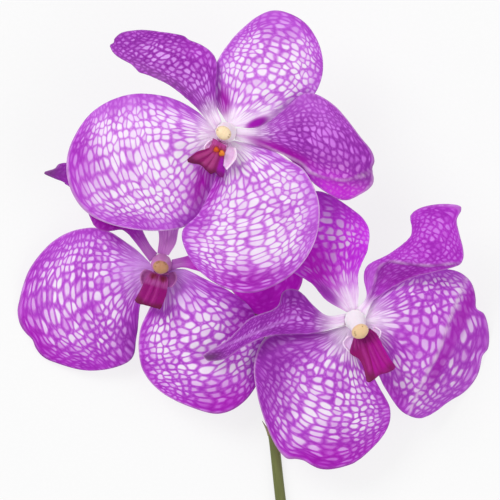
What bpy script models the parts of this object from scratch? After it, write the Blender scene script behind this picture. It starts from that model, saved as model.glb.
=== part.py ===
"""Cut vanda orchid: three open blooms on one green flower stem, lying down and facing up.

Metres in the scene, +Z up. The numbers below are millimetres, turned to metres by MM.
X runs to the right and Y up the spray, as seen from above. Each bloom hangs on an empty
at its own centre, the top of the flower stalk, and its outlines are measured from there.
"""

import math
from dataclasses import dataclass

import bmesh
import bpy
import numpy as np
from mathutils import Matrix, Vector

MM = 0.001

# Driving sizes of the whole spray
ORIGIN_SHIFT = (-1.24, 24.05, 0.0)
BLADE_THICKNESS = 0.8
MIDLOBE_THICKNESS = 1.8
TOUCH_GAP = 0.3

# Flower stem: centre line in plan from the cut end to the tip, and its half width
STEM_LINE = (
    (15.6, -129.0),
    (13.2, -108.0),
    (10.2, -83.3),
    (8.0, -63.7),
    (5.4, -46.7),
    (3.4, -26.7),
    (0.9, -6.7),
    (-1.4, 12.0),
    (-3.2, 28.0),
)
STEM_RADIUS = 2.0
STEM_TIP_RADIUS = 1.35
STEM_FLAT_DEPTH = 0.18
STEM_CUT_SLANT = 32.0
STEM_CUT_PLACE = (15.6, -132.5, 2.0)
STEM_CUT_SIZE = (20.0, 10.0, 30.0)
FLOOR_CUT_PLACE = (0.0, -50.0, -5.0)
FLOOR_CUT_SIZE = (60.0, 260.0, 10.0)

# Bracts: place along the stem, side of the stem (1 right, -1 left), length
BRACTS = ((0.425, -1, 5.2), (0.655, 1, 4.4), (0.665, -1, 4.4), (0.905, -1, 4.0))
BRACT_RADIUS = 1.25

# Flower stalks: each flares into the small disc that carries the bloom
STALK_RADIUS = 1.25
HUB_RADIUS = 3.0
HUB_DEPTH = 2.4

# Claws: the narrow feet of the sepals and petals, set round the hub on two levels
CLAW_REACH = HUB_RADIUS + TOUCH_GAP
CLAW_HALF_WIDTH = 1.9
SEPAL_LEVEL = -1.7
PETAL_LEVEL = -0.5

# Grids of the blades: cells across the veins and along them
BROAD_GRID = (11, 10)
NARROW_GRID = (6, 15)
MIDLOBE_GRID = (6, 5)
RELAX_ROUNDS = 400
RELAX_STEP = 0.6

# Column and anther cap
COLUMN_BASE_RADIUS = 3.5
COLUMN_TOP_RADIUS = 2.1
COLUMN_HEIGHT = 5.2
CAP_RADIUS = 2.35
CAP_HEIGHT = 2.2
CAP_OVAL = 0.9
CAP_CUT = 0.35


@dataclass(frozen=True)
class Fold:
    """A crease from start to end in plan; the blade drops to the right of it."""

    start: tuple
    end: tuple
    steep: float
    radius: float = 1.6


@dataclass(frozen=True)
class Blade:
    """One sepal, petal or lip lobe, as an outline in plan and a height over it.

    rim runs from the claw out along the right side, round the tip and back, seen from
    the bloom's centre looking out. shoulders are the rim points where the sides end and
    the far edge begins. lift, roll, arch and cup are the height's slopes and curvatures
    along and across the blade.
    """

    name: str
    azimuth: float
    level: float
    rim: tuple
    shoulders: tuple
    lift: float = 0.0
    roll: float = 0.0
    arch: float = 0.0
    cup: float = 0.0
    wave: tuple = (0.0, 3.0, 0.0)
    folds: tuple = ()
    claw_half_width: float = CLAW_HALF_WIDTH
    claw_reach: float = CLAW_REACH
    grid: tuple = BROAD_GRID


@dataclass(frozen=True)
class Lip:
    """The lip: its thick midlobe outline, and where its two side lobes stand."""

    midlobe: Blade
    side_lobes: tuple


@dataclass(frozen=True)
class Bloom:
    """One bloom: its centre, its blades, its lip, its column and its stalk's route."""

    name: str
    centre: tuple
    blades: tuple
    lip: Lip
    column_lean: tuple
    stalk: tuple


TOP_BLOOM = Bloom(
    name="top_bloom",
    centre=(-8.0, 39.0, 43.0),
    column_lean=(-0.7, 0.2),
    stalk=((-3.2, 14.4, 3.6), (-4.4, 21.0, 13.0), (-8.0, 39.0, 22.0)),
    blades=(
        Blade(
            name="dorsal_sepal",
            azimuth=62.0,
            level=SEPAL_LEVEL,
            rim=(
                (10.0, 2.6), (22.0, 6.5), (30.6, 15.0), (31.9, 26.0), (26.3, 36.5),
                (15.5, 40.6), (5.0, 34.2), (-3.2, 23.0), (-4.6, 12.5),
            ),
            shoulders=(3, 6),
            lift=0.03,
            arch=-0.0035,
            cup=-0.006,
            wave=(1.2, 3.0, 0.6),
        ),
        Blade(
            name="left_petal",
            azimuth=142.0,
            level=PETAL_LEVEL,
            rim=(
                (-3.0, 9.0), (-3.4, 17.0), (-4.2, 25.0), (-12.5, 30.6), (-24.0, 33.1),
                (-33.5, 33.0), (-38.3, 28.6), (-31.0, 21.8), (-26.5, 18.4), (-19.0, 15.4),
                (-10.0, 8.2),
            ),
            shoulders=(2, 6),
            lift=0.16,
            arch=-0.003,
            cup=-0.012,
            wave=(1.1, 3.0, 1.9),
        ),
        Blade(
            name="left_sepal",
            azimuth=197.0,
            level=SEPAL_LEVEL,
            rim=(
                (-9.8, 7.2), (-20.0, 12.0), (-33.0, 12.5), (-45.0, 6.4), (-52.4, -6.0),
                (-52.0, -18.0), (-45.0, -27.4), (-31.0, -32.0), (-15.0, -31.6),
                (-5.6, -24.0), (-4.0, -12.5),
            ),
            shoulders=(3, 7),
            lift=-0.08,
            arch=-0.002,
            cup=-0.0055,
            wave=(1.3, 3.0, 0.0),
        ),
        Blade(
            name="right_sepal",
            azimuth=286.0,
            level=SEPAL_LEVEL,
            rim=(
                (-3.2, -14.0), (-8.5, -26.0), (-14.6, -33.5), (-10.3, -44.2), (-0.8, -51.4),
                (10.0, -53.0), (22.0, -47.0), (29.5, -36.2), (30.9, -23.5), (26.4, -13.1),
                (20.5, -9.0), (13.5, -5.0),
            ),
            shoulders=(3, 7),
            lift=0.06,
            roll=-0.05,
            arch=-0.0024,
            cup=-0.004,
            wave=(1.2, 3.0, 1.0),
        ),
        Blade(
            name="right_petal",
            azimuth=352.0,
            level=PETAL_LEVEL,
            rim=(
                (9.5, -4.2), (17.0, -6.3), (20.8, -8.3), (25.6, -13.0), (31.0, -18.0), (38.8, -22.2),
                (47.0, -18.0), (49.3, -11.0), (47.0, -1.5), (36.0, 9.0), (27.0, 13.2),
                (18.5, 8.6), (9.0, 2.8),
            ),
            shoulders=(5, 9),
            lift=0.06,
            arch=-0.0014,
            cup=-0.004,
            wave=(0.8, 3.0, 0.4),
            folds=(Fold((14.0, -5.6), (50.0, -15.0), 1.6, 1.4),),
        ),
    ),
    lip=Lip(
        midlobe=Blade(
            name="midlobe",
            azimuth=237.0,
            level=1.9,
            rim=(
                (-5.2, -5.4), (-12.8, -9.4), (-8.8, -11.0), (-5.0, -13.9), (-2.6, -8.4),
            ),
            shoulders=(1, 3),
            lift=0.3,
            claw_half_width=1.7,
            claw_reach=3.9,
            grid=MIDLOBE_GRID,
        ),
        side_lobes=((190.0, 6.0), (281.0, 8.0)),
    ),
)

LEFT_BLOOM = Bloom(
    name="left_bloom",
    centre=(-29.7, -4.7, 18.0),
    column_lean=(0.0, -0.8),
    stalk=((1.0, -22.6, 3.4), (-10.0, -18.0, 7.5), (-29.7, -4.7, 6.0)),
    blades=(
        Blade(
            name="dorsal_sepal",
            azimuth=80.0,
            level=SEPAL_LEVEL,
            rim=(
                (4.6, 7.3), (6.0, 12.0), (10.5, 20.0), (12.6, 30.0), (10.0, 40.0),
                (2.5, 45.5), (-4.5, 41.0), (-6.9, 31.0), (-4.2, 20.0), (-0.9, 10.5),
            ),
            shoulders=(4, 6),
            lift=0.1,
            arch=-0.001,
            cup=-0.012,
            wave=(0.8, 3.0, 0.0),
        ),
        Blade(
            name="left_petal",
            azimuth=140.0,
            level=PETAL_LEVEL,
            rim=(
                (-3.8, 6.6), (-6.4, 11.6), (-10.5, 21.0), (-18.5, 29.0), (-30.0, 33.8),
                (-39.0, 30.6), (-32.0, 26.4), (-25.0, 20.0), (-22.8, 13.4), (-17.0, 10.8),
                (-9.0, 7.2),
            ),
            shoulders=(4, 6),
            grid=NARROW_GRID,
            lift=0.14,
            arch=-0.001,
            cup=-0.012,
            wave=(0.9, 3.0, 0.9),
        ),
        Blade(
            name="left_sepal",
            azimuth=203.0,
            level=SEPAL_LEVEL,
            rim=(
                (-10.0, 6.0), (-21.0, 12.0), (-34.0, 9.2), (-44.0, -1.2), (-48.2, -14.0),
                (-45.5, -23.6), (-37.3, -32.6), (-24.0, -35.8), (-11.0, -32.6),
                (-8.3, -24.0), (-6.8, -12.5),
            ),
            shoulders=(2, 7),
            lift=-0.105,
            arch=-0.0042,
            cup=-0.0035,
            wave=(1.2, 3.0, 0.5),
        ),
        Blade(
            name="right_sepal",
            azimuth=300.0,
            level=SEPAL_LEVEL,
            rim=(
                (-3.2, -13.0), (-7.3, -23.0), (-6.6, -34.5), (-0.4, -42.6), (10.0, -48.0),
                (20.0, -50.1), (28.4, -45.4), (33.8, -36.0), (34.6, -26.0), (30.5, -15.6),
                (24.0, -9.8), (15.0, -5.2), (8.0, -1.8),
            ),
            shoulders=(3, 7),
            lift=0.06,
            arch=-0.003,
            cup=-0.005,
            wave=(1.2, 3.0, 0.0),
        ),
        Blade(
            name="right_petal",
            azimuth=353.0,
            level=PETAL_LEVEL,
            rim=(
                (8.0, -1.2), (16.5, -4.0), (22.5, -7.6), (30.0, -16.0), (38.0, -16.6),
                (45.0, -10.2), (47.2, -3.5), (42.0, 3.5), (33.0, 9.0), (22.0, 8.6),
                (10.5, 3.4),
            ),
            shoulders=(3, 7),
            arch=-0.006,
            cup=0.003,
            wave=(0.8, 3.0, 0.3),
        ),
    ),
    lip=Lip(
        midlobe=Blade(
            name="midlobe",
            azimuth=256.0,
            level=1.9,
            rim=(
                (-5.6, -7.2), (-8.7, -12.4), (-4.4, -13.7), (0.3, -14.9), (1.5, -8.6),
            ),
            shoulders=(1, 3),
            lift=0.28,
            claw_half_width=1.8,
            claw_reach=3.9,
            grid=MIDLOBE_GRID,
        ),
        side_lobes=((208.0, 5.4), (304.0, 5.4)),
    ),
)

RIGHT_BLOOM = Bloom(
    name="right_bloom",
    centre=(35.0, -23.3, 25.0),
    column_lean=(2.0, -4.0),
    stalk=((5.8, -28.6, 3.4), (15.0, -28.0, 8.0), (35.0, -23.3, 11.0)),
    blades=(
        Blade(
            name="dorsal_sepal",
            azimuth=106.0,
            level=SEPAL_LEVEL,
            rim=(
                (1.2, 9.0), (1.2, 16.0), (4.3, 24.0), (4.2, 31.5), (-1.5, 37.4),
                (-12.0, 43.0), (-22.0, 40.0), (-26.0, 30.0), (-22.5, 18.0), (-14.5, 12.2),
                (-9.6, 6.6),
            ),
            shoulders=(3, 7),
            lift=0.14,
            arch=-0.002,
            cup=-0.01,
            wave=(1.2, 3.0, 0.0),
        ),
        Blade(
            name="right_petal",
            azimuth=52.0,
            level=PETAL_LEVEL,
            rim=(
                (5.8, 6.2), (9.8, 9.2), (14.5, 12.0), (20.0, 14.5), (27.0, 16.0), (33.4, 17.4),
                (36.2, 23.0), (34.2, 31.0), (35.2, 37.0), (27.0, 38.9), (18.4, 35.2),
                (18.6, 27.6), (11.5, 22.4), (3.6, 16.2), (3.8, 7.8),
            ),
            shoulders=(6, 10),
            lift=0.12,
            arch=-0.0005,
            cup=-0.004,
            wave=(0.9, 3.0, 0.0),
            folds=(Fold((8.0, 18.8), (34.0, 18.0), 0.35, 1.6),),
        ),
        Blade(
            name="left_petal",
            azimuth=176.0,
            level=PETAL_LEVEL,
            rim=(
                (-9.0, 1.4), (-13.2, 4.2), (-18.3, 9.0), (-23.0, 9.8), (-27.5, 4.0),
                (-36.0, -1.4), (-42.0, -7.4), (-49.6, -10.6), (-50.8, -12.2), (-49.4, -13.4),
                (-44.0, -12.9), (-36.5, -9.4), (-28.0, -5.6), (-14.0, -4.4),
            ),
            shoulders=(6, 8),
            grid=NARROW_GRID,
            lift=0.03,
            arch=-0.0012,
            cup=-0.01,
            wave=(0.5, 3.0, 0.0),
        ),
        Blade(
            name="left_sepal",
            azimuth=241.0,
            level=SEPAL_LEVEL,
            rim=(
                (-11.5, -4.0), (-21.0, -4.4), (-29.6, -5.8), (-33.4, -13.5), (-33.3, -23.0),
                (-30.0, -34.5), (-22.0, -46.4), (-11.0, -50.0), (1.5, -46.8), (10.0, -38.0),
                (11.8, -30.0), (7.6, -21.5), (3.0, -12.5),
            ),
            shoulders=(4, 9),
            lift=-0.08,
            arch=-0.002,
            cup=-0.005,
            wave=(1.2, 3.0, 0.0),
        ),
        Blade(
            name="right_sepal",
            azimuth=346.0,
            level=SEPAL_LEVEL,
            rim=(
                (5.4, -9.0), (8.2, -19.0), (13.6, -28.0), (22.0, -33.0), (31.0, -26.8),
                (41.0, -16.8), (45.5, -7.0), (42.6, 4.0), (39.4, 11.5), (31.0, 17.2),
                (20.0, 15.0), (14.7, 12.4), (10.2, 8.6), (6.6, 5.0),
            ),
            shoulders=(3, 9),
            lift=-0.087,
            arch=-0.004,
            cup=-0.0015,
            wave=(0.8, 3.0, 0.0),
            folds=(Fold((19.0, -29.0), (36.5, 12.0), 0.7, 2.0),),
        ),
    ),
    lip=Lip(
        midlobe=Blade(
            name="midlobe",
            azimuth=298.0,
            level=1.9,
            rim=(
                (1.0, -12.0), (4.2, -20.2), (8.3, -18.4), (13.2, -15.7), (7.4, -7.6),
            ),
            shoulders=(1, 3),
            lift=0.25,
            claw_half_width=1.9,
            claw_reach=5.2,
            grid=MIDLOBE_GRID,
        ),
        side_lobes=((252.0, 8.0), (327.0, 7.7)),
    ),
)

BLOOMS = (TOP_BLOOM, LEFT_BLOOM, RIGHT_BLOOM)


# Small helpers


def direction(azimuth):
    """Return the plan direction of an azimuth in degrees."""
    angle = math.radians(azimuth)
    return np.array((math.cos(angle), math.sin(angle)))


def smooth_step(value):
    """Return a smooth rise from 0 to 1 as the value goes from 0 to 1."""
    share = np.clip(value, 0.0, 1.0)
    return share * share * (3.0 - 2.0 * share)


def smooth_path(points, count):
    """Return count points, evenly spaced, on a smooth curve through the given points."""
    path = np.array(points, dtype=float)
    before = 2.0 * path[0] - path[1]
    after = 2.0 * path[-1] - path[-2]
    knots = np.vstack((before, path, after))
    steps = np.linspace(0.0, 1.0, 24, endpoint=False)[:, None]
    pieces = []
    for index in range(1, len(knots) - 2):
        a, b, c, d = knots[index - 1:index + 3]
        pieces.append(0.5 * (2.0 * b + (c - a) * steps + (2.0 * a - 5.0 * b + 4.0 * c - d) * steps ** 2
                             + (3.0 * b - 3.0 * c + d - a) * steps ** 3))
    fine = np.vstack(pieces + [path[-1:]])
    lengths = np.concatenate(([0.0], np.cumsum(np.linalg.norm(np.diff(fine, axis=0), axis=1))))
    wanted = np.linspace(0.0, lengths[-1], count)
    return np.column_stack([np.interp(wanted, lengths, fine[:, axis]) for axis in range(fine.shape[1])])


def make_material(name, colour, roughness):
    """Return a plain Principled material."""
    material = bpy.data.materials.new(name)
    material.use_nodes = True
    shader = material.node_tree.nodes["Principled BSDF"]
    shader.inputs["Base Color"].default_value = (*colour, 1.0)
    shader.inputs["Roughness"].default_value = roughness
    shader.inputs["Metallic"].default_value = 0.0
    material.diffuse_color = (*colour, 1.0)
    return material


def add_object(name, data, collection, material, parent):
    """Link a new object, give it its material and hang it on its parent empty."""
    obj = bpy.data.objects.new(name, data)
    collection.objects.link(obj)
    obj.data.materials.append(material)
    obj.parent = parent
    return obj


def add_empty(name, place, collection, parent=None):
    """Return an empty at a place in millimetres."""
    empty = bpy.data.objects.new(name, None)
    empty.location = [value * MM for value in place]
    empty.parent = parent
    collection.objects.link(empty)
    return empty


# Blades: the sepals, the petals and the midlobe of the lip


def claw_corners(blade):
    """Return the right and left ends of a blade's foot, seen looking out."""
    out = direction(blade.azimuth)
    side = np.array((out[1], -out[0]))
    foot = out * blade.claw_reach
    return foot + side * blade.claw_half_width, foot - side * blade.claw_half_width


def relax_grid(grid):
    """Even out the inner points of a plan grid, so that its lines never cross (Winslow)."""
    for _ in range(RELAX_ROUNDS):
        by_row = (grid[2:, 1:-1] - grid[:-2, 1:-1]) * 0.5
        by_column = (grid[1:-1, 2:] - grid[1:-1, :-2]) * 0.5
        row_weight = (by_column ** 2).sum(axis=-1, keepdims=True)
        column_weight = (by_row ** 2).sum(axis=-1, keepdims=True)
        mixed = (by_row * by_column).sum(axis=-1, keepdims=True)
        twist = grid[2:, 2:] - grid[2:, :-2] - grid[:-2, 2:] + grid[:-2, :-2]
        rows = row_weight * (grid[2:, 1:-1] + grid[:-2, 1:-1])
        columns = column_weight * (grid[1:-1, 2:] + grid[1:-1, :-2])
        total = 2.0 * (row_weight + column_weight) + 1e-9
        wanted = (rows + columns - 0.5 * mixed * twist) / total
        grid[1:-1, 1:-1] += RELAX_STEP * (wanted - grid[1:-1, 1:-1])
    return grid


def blade_plan(blade, across, along):
    """Return plan points of the blade as a Coons patch: claw, far edge and two sides.

    across and along are the grid's lines, and the result is (along, across, 2).
    """
    right_claw, left_claw = claw_corners(blade)
    outline = [tuple(right_claw), *blade.rim, tuple(left_claw)]
    counts = (240, 360, 240)
    first, last = blade.shoulders[0] + 1, blade.shoulders[1] + 1
    whole = smooth_path(outline, sum(counts))
    corners = [np.argmin(np.linalg.norm(whole - np.array(outline[knot]), axis=1)) for knot in (first, last)]
    right_side = smooth_path(whole[:corners[0] + 1], len(along))
    far_edge = smooth_path(whole[corners[0]:corners[1] + 1], len(across))
    left_side = smooth_path(whole[corners[1]:], len(along))[::-1]
    u = across[None, :, None]
    v = along[:, None, None]
    foot = right_claw * (1.0 - u) + left_claw * u
    ruled = foot * (1.0 - v) + far_edge[None] * v + right_side[:, None] * (1.0 - u) + left_side[:, None] * u
    flat = foot * (1.0 - v) + (far_edge[0] * (1.0 - u) + far_edge[-1] * u) * v
    return relax_grid(ruled - flat)


def blade_height(blade, plan):
    """Return the blade's height over its plan points, in the bloom's own frame."""
    out = direction(blade.azimuth)
    side = np.array((out[1], -out[0]))
    foot = out * blade.claw_reach
    offset = plan - foot
    reach = np.linalg.norm(offset, axis=-1)
    sideways = offset @ side
    ease = smooth_step(reach / 14.0)
    fold_ease = smooth_step((reach - 6.0) / 10.0)
    height = blade.level + blade.lift * reach + blade.arch * reach ** 2
    height = height + ease * (blade.roll * sideways + blade.cup * sideways ** 2)
    middle = plan.reshape(-1, 2).mean(axis=0)
    around = np.arctan2(plan[..., 1] - middle[1], plan[..., 0] - middle[0])
    nearness = np.linalg.norm(plan - middle, axis=-1)
    nearness = (nearness / nearness.max()) ** 2
    size, count, phase = blade.wave
    height = height + ease * size * nearness * np.sin(count * around + phase)
    for fold in blade.folds:
        start = np.array(fold.start)
        line = np.array(fold.end) - start
        line = line / np.linalg.norm(line)
        beyond = (plan - start) @ np.array((line[1], -line[0]))
        height = height - fold_ease * fold.steep * 0.5 * (np.sqrt(beyond ** 2 + fold.radius ** 2) + beyond)
    return height


def blade_mesh(name, blade):
    """Return the blade's middle surface as a triangulated grid."""
    cells_across, cells_along = blade.grid
    across = np.linspace(0.0, 1.0, cells_across + 1)
    along = np.linspace(0.0, 1.0, cells_along + 1)
    plan = blade_plan(blade, across, along)
    height = blade_height(blade, plan)
    sheet = bmesh.new()
    bmesh.ops.create_grid(sheet, x_segments=cells_across, y_segments=cells_along, size=1.0)
    for vert in sheet.verts:
        column = round((vert.co.x + 1.0) * 0.5 * cells_across)
        row = round((vert.co.y + 1.0) * 0.5 * cells_along)
        vert.co = Vector((*plan[row, column], height[row, column])) * MM
    bmesh.ops.triangulate(sheet, faces=sheet.faces, quad_method="SHORT_EDGE")
    mesh = bpy.data.meshes.new(name)
    sheet.to_mesh(mesh)
    sheet.free()
    mesh.shade_smooth()
    return mesh


def add_blade(blade, name, collection, material, parent, thickness=BLADE_THICKNESS):
    """Build one sepal, petal or lobe as a thin solid."""
    obj = add_object(name, blade_mesh(name, blade), collection, material, parent)
    shell = obj.modifiers.new("thickness", "SOLIDIFY")
    shell.thickness = thickness * MM
    shell.offset = 0.0
    return obj


# Stem, stalks and bracts


def add_tube(name, points, radii, collection, material, parent, sides=2):
    """Build a tube along points in millimetres, its radius changing point by point."""
    curve = bpy.data.curves.new(name, "CURVE")
    curve.dimensions = "3D"
    curve.bevel_depth = MM
    curve.bevel_resolution = sides
    curve.use_fill_caps = True
    curve.twist_mode = "Z_UP"
    spline = curve.splines.new("POLY")
    spline.points.add(len(points) - 1)
    for target, place, radius in zip(spline.points, points, radii):
        target.co = (*[value * MM for value in place], 1.0)
        target.radius = radius
    return add_object(name, curve, collection, material, parent)


def solid_mesh(obj):
    """Replace a curve or a modified mesh by its evaluated mesh, welded, and return it."""
    depsgraph = bpy.context.evaluated_depsgraph_get()
    depsgraph.update()
    mesh = bpy.data.meshes.new_from_object(obj.evaluated_get(depsgraph))
    welded = bmesh.new()
    welded.from_mesh(mesh)
    bmesh.ops.remove_doubles(welded, verts=welded.verts, dist=1e-6)
    bmesh.ops.recalc_face_normals(welded, faces=welded.faces)
    welded.to_mesh(mesh)
    welded.free()
    name, parent, collection = obj.name, obj.parent, obj.users_collection[0]
    material = obj.data.materials[0]
    bpy.data.objects.remove(obj)
    mesh.name = name
    solid = bpy.data.objects.new(name, mesh)
    collection.objects.link(solid)
    solid.parent = parent
    if not mesh.materials:
        mesh.materials.append(material)
    return solid


def combine(target, others, operation):
    """Apply a Boolean between the target and each of the others, then drop those."""
    for other in others:
        cut = target.modifiers.new(other.name, "BOOLEAN")
        cut.operation = operation
        cut.solver = "EXACT"
        cut.object = other
    solid = solid_mesh(target)
    for other in others:
        bpy.data.objects.remove(other)
    return solid


def add_box(name, size, place, tilt, collection, material, parent):
    """Build a box of a size in millimetres, turned about X by tilt degrees."""
    block = bmesh.new()
    turn = Matrix.Translation(Vector(place) * MM) @ Matrix.Rotation(math.radians(tilt), 4, "X")
    bmesh.ops.create_cube(block, size=1.0, matrix=turn @ Matrix.Diagonal((*[v * MM for v in size], 1.0)))
    mesh = bpy.data.meshes.new(name)
    block.to_mesh(mesh)
    block.free()
    return add_object(name, mesh, collection, material, parent)


def add_bract(name, place, heading, length, collection, material, parent):
    """Build one bract: a small pointed scale whose root is sunk in the stem."""
    scale = bmesh.new()
    lean = Matrix.Translation(Vector(place) * MM) @ heading.to_matrix().to_4x4()
    stretch = Matrix.Diagonal((0.45, 1.0, 1.0, 1.0))
    bmesh.ops.create_cone(scale, cap_ends=True, segments=8, radius1=BRACT_RADIUS * MM,
                          radius2=0.12 * MM, depth=length * MM, matrix=lean @ stretch)
    mesh = bpy.data.meshes.new(name)
    scale.to_mesh(mesh)
    scale.free()
    return add_object(name, mesh, collection, material, parent)


def stem_radius(share):
    """Return the stem's radius at a share of its length from the cut end."""
    tip = max(0.0, (share - 0.965) / 0.035)
    return (STEM_RADIUS + (STEM_TIP_RADIUS - STEM_RADIUS) * share) * (1.0 - 0.45 * tip * tip)


def build_stem(collection, cutters, material, parent):
    """Build the flower stem with its bracts, flat where it lies and cut at a slant."""
    count = 34
    plan = smooth_path(STEM_LINE, count)
    shares = np.linspace(0.0, 1.0, count)
    radii = [stem_radius(share) for share in shares]
    points = [(x, y, radius - STEM_FLAT_DEPTH) for (x, y), radius in zip(plan, radii)]
    stem = solid_mesh(add_tube("flower_stem", points, radii, collection, material, parent, sides=3))
    bracts = []
    for number, (share, hand, length) in enumerate(BRACTS, start=1):
        index = round(share * (count - 1))
        ahead = np.array(points[index + 1]) - np.array(points[index])
        ahead = ahead / np.linalg.norm(ahead)
        side = np.array((ahead[1], -ahead[0], 0.0)) * hand
        lean = Vector(ahead + 0.32 * side)
        place = np.array(points[index]) + side * (radii[index] - 0.1) + ahead * length * 0.25
        heading = lean.to_track_quat("Z", "X")
        bracts.append(add_bract(f"bract_{number}", place, heading, length, cutters, material, parent))
    stem = combine(stem, bracts, "UNION")
    floor = add_box("floor_cutter", FLOOR_CUT_SIZE, FLOOR_CUT_PLACE, 0.0, cutters, material, parent)
    slant = add_box("slant_cutter", STEM_CUT_SIZE, STEM_CUT_PLACE, -STEM_CUT_SLANT, cutters, material, parent)
    return combine(stem, [floor, slant], "DIFFERENCE")


def build_stalk(bloom, collection, material, parent):
    """Build a flower stalk from the stem up to the disc that carries its bloom."""
    centre = np.array(bloom.centre)
    hub_foot = centre - (0.0, 0.0, HUB_DEPTH)
    start, first, second = [np.array(point) for point in bloom.stalk]
    points = []
    for share in np.linspace(0.0, 1.0, 15):
        left = 1.0 - share
        points.append(left ** 3 * start + 3.0 * left ** 2 * share * first
                      + 3.0 * left * share ** 2 * second + share ** 3 * hub_foot)
    flare = [STALK_RADIUS + (HUB_RADIUS - STALK_RADIUS) * max(0.0, (share - 0.72) / 0.28) ** 2
             for share in np.linspace(0.0, 1.0, 15)]
    points.append(centre)
    flare.append(HUB_RADIUS)
    return add_tube(f"{bloom.name}_stalk", points, flare, collection, material, parent)


# Column, anther cap and lip


def build_column(bloom, collection, material, parent):
    """Build the column: a stout tapering post on the hub, leaning towards the lip."""
    name = f"{bloom.name}_column"
    lean_x, lean_y = bloom.column_lean
    shear = Matrix.Identity(4)
    shear[0][2] = lean_x / COLUMN_HEIGHT
    shear[1][2] = lean_y / COLUMN_HEIGHT
    lift = Matrix.Translation((0.0, 0.0, COLUMN_HEIGHT * 0.5))
    place = Matrix.Translation((0.0, 0.0, TOUCH_GAP))
    post = bmesh.new()
    bmesh.ops.create_cone(post, cap_ends=True, segments=16, radius1=COLUMN_BASE_RADIUS,
                          radius2=COLUMN_TOP_RADIUS, depth=COLUMN_HEIGHT,
                          matrix=Matrix.Scale(MM, 4) @ place @ shear @ lift)
    mesh = bpy.data.meshes.new(name)
    post.to_mesh(mesh)
    post.free()
    return add_object(name, mesh, collection, material, parent)


def build_cap(bloom, collection, material, parent):
    """Build the anther cap: an oval dome, flat below, on the column's top."""
    name = f"{bloom.name}_anther_cap"
    seat = Vector((*bloom.column_lean, COLUMN_HEIGHT + 2.0 * TOUCH_GAP))
    turn = Matrix.Rotation(math.radians(bloom.lip.midlobe.azimuth), 4, "Z")
    half_height = CAP_HEIGHT / (1.0 + CAP_CUT)
    size = Matrix.Diagonal((CAP_RADIUS * CAP_OVAL, CAP_RADIUS / CAP_OVAL, half_height, 1.0))
    lift = Matrix.Translation((0.0, 0.0, CAP_CUT * half_height))
    dome = bmesh.new()
    bmesh.ops.create_uvsphere(dome, u_segments=14, v_segments=8, radius=1.0)
    bmesh.ops.bisect_plane(dome, geom=dome.verts[:] + dome.edges[:] + dome.faces[:], dist=1e-6,
                           plane_co=(0.0, 0.0, -CAP_CUT), plane_no=(0.0, 0.0, -1.0), clear_outer=True)
    bmesh.ops.holes_fill(dome, edges=[edge for edge in dome.edges if edge.is_boundary])
    place = Matrix.Scale(MM, 4) @ Matrix.Translation(seat) @ turn @ lift @ size
    bmesh.ops.transform(dome, matrix=place, verts=dome.verts)
    mesh = bpy.data.meshes.new(name)
    dome.to_mesh(mesh)
    dome.free()
    mesh.shade_smooth()
    return add_object(name, mesh, collection, material, parent)


def add_side_lobe(name, azimuth, reach, collection, material, parent):
    """Build one side lobe of the lip: an upright, flattened, rounded ear."""
    out = direction(azimuth)
    ear = bmesh.new()
    place = Matrix.Translation(Vector((*(out * reach), 2.9)) * MM)
    turn = Matrix.Rotation(math.radians(azimuth), 4, "Z")
    size = Matrix.Diagonal((0.8 * MM, 2.1 * MM, 2.2 * MM, 1.0))
    bmesh.ops.create_uvsphere(ear, u_segments=10, v_segments=6, radius=1.0, matrix=place @ turn @ size)
    mesh = bpy.data.meshes.new(name)
    ear.to_mesh(mesh)
    ear.free()
    return add_object(name, mesh, collection, material, parent)


def build_lip(bloom, collection, cutters, material, parent):
    """Build the lip: the fish-tailed midlobe, its foot and the two side lobes, as one."""
    midlobe = add_blade(bloom.lip.midlobe, f"{bloom.name}_lip", collection, material, parent,
                        thickness=MIDLOBE_THICKNESS)
    joined = []
    for number, (azimuth, reach) in enumerate(bloom.lip.side_lobes, start=1):
        joined.append(add_side_lobe(f"{bloom.name}_side_lobe_{number}", azimuth, reach, cutters, material, parent))
    foot_line = [(*(direction(azimuth) * reach), 1.75)
                 for azimuth, reach in lip_foot_points(bloom.lip)]
    foot = add_tube(f"{bloom.name}_lip_foot", foot_line, [0.8] * len(foot_line), cutters, material, parent)
    joined.append(solid_mesh(foot))
    return combine(solid_mesh(midlobe), joined, "UNION")


def lip_foot_points(lip):
    """Return azimuths and reaches of the arched foot that joins the lip's three lobes."""
    (first, first_reach), (last, last_reach) = lip.side_lobes
    middle, middle_reach = lip.midlobe.azimuth, lip.midlobe.claw_reach + 0.6
    shares = np.linspace(0.0, 1.0, 7)
    azimuths = np.interp(shares, (0.0, 0.5, 1.0), (first, middle, last))
    reaches = np.interp(shares, (0.0, 0.5, 1.0), (first_reach, middle_reach, last_reach))
    return list(zip(azimuths, reaches))


# Whole spray


def clear_scene():
    """Remove every object that the scene starts with."""
    for obj in list(bpy.data.objects):
        bpy.data.objects.remove(obj)


def add_collection(name):
    """Return a new collection linked to the scene."""
    collection = bpy.data.collections.new(name)
    bpy.context.scene.collection.children.link(collection)
    return collection


def build_bloom(bloom, parts, cutters, materials, root):
    """Build one bloom and the stalk that carries it."""
    centre = add_empty(f"{bloom.name}_centre", bloom.centre, parts, root)
    build_stalk(bloom, parts, materials["stem"], root)
    for blade in bloom.blades:
        add_blade(blade, f"{bloom.name}_{blade.name}", parts, materials["petal"], centre)
    build_lip(bloom, parts, cutters, materials["lip"], centre)
    build_column(bloom, parts, materials["column"], centre)
    build_cap(bloom, parts, materials["cap"], centre)


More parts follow.
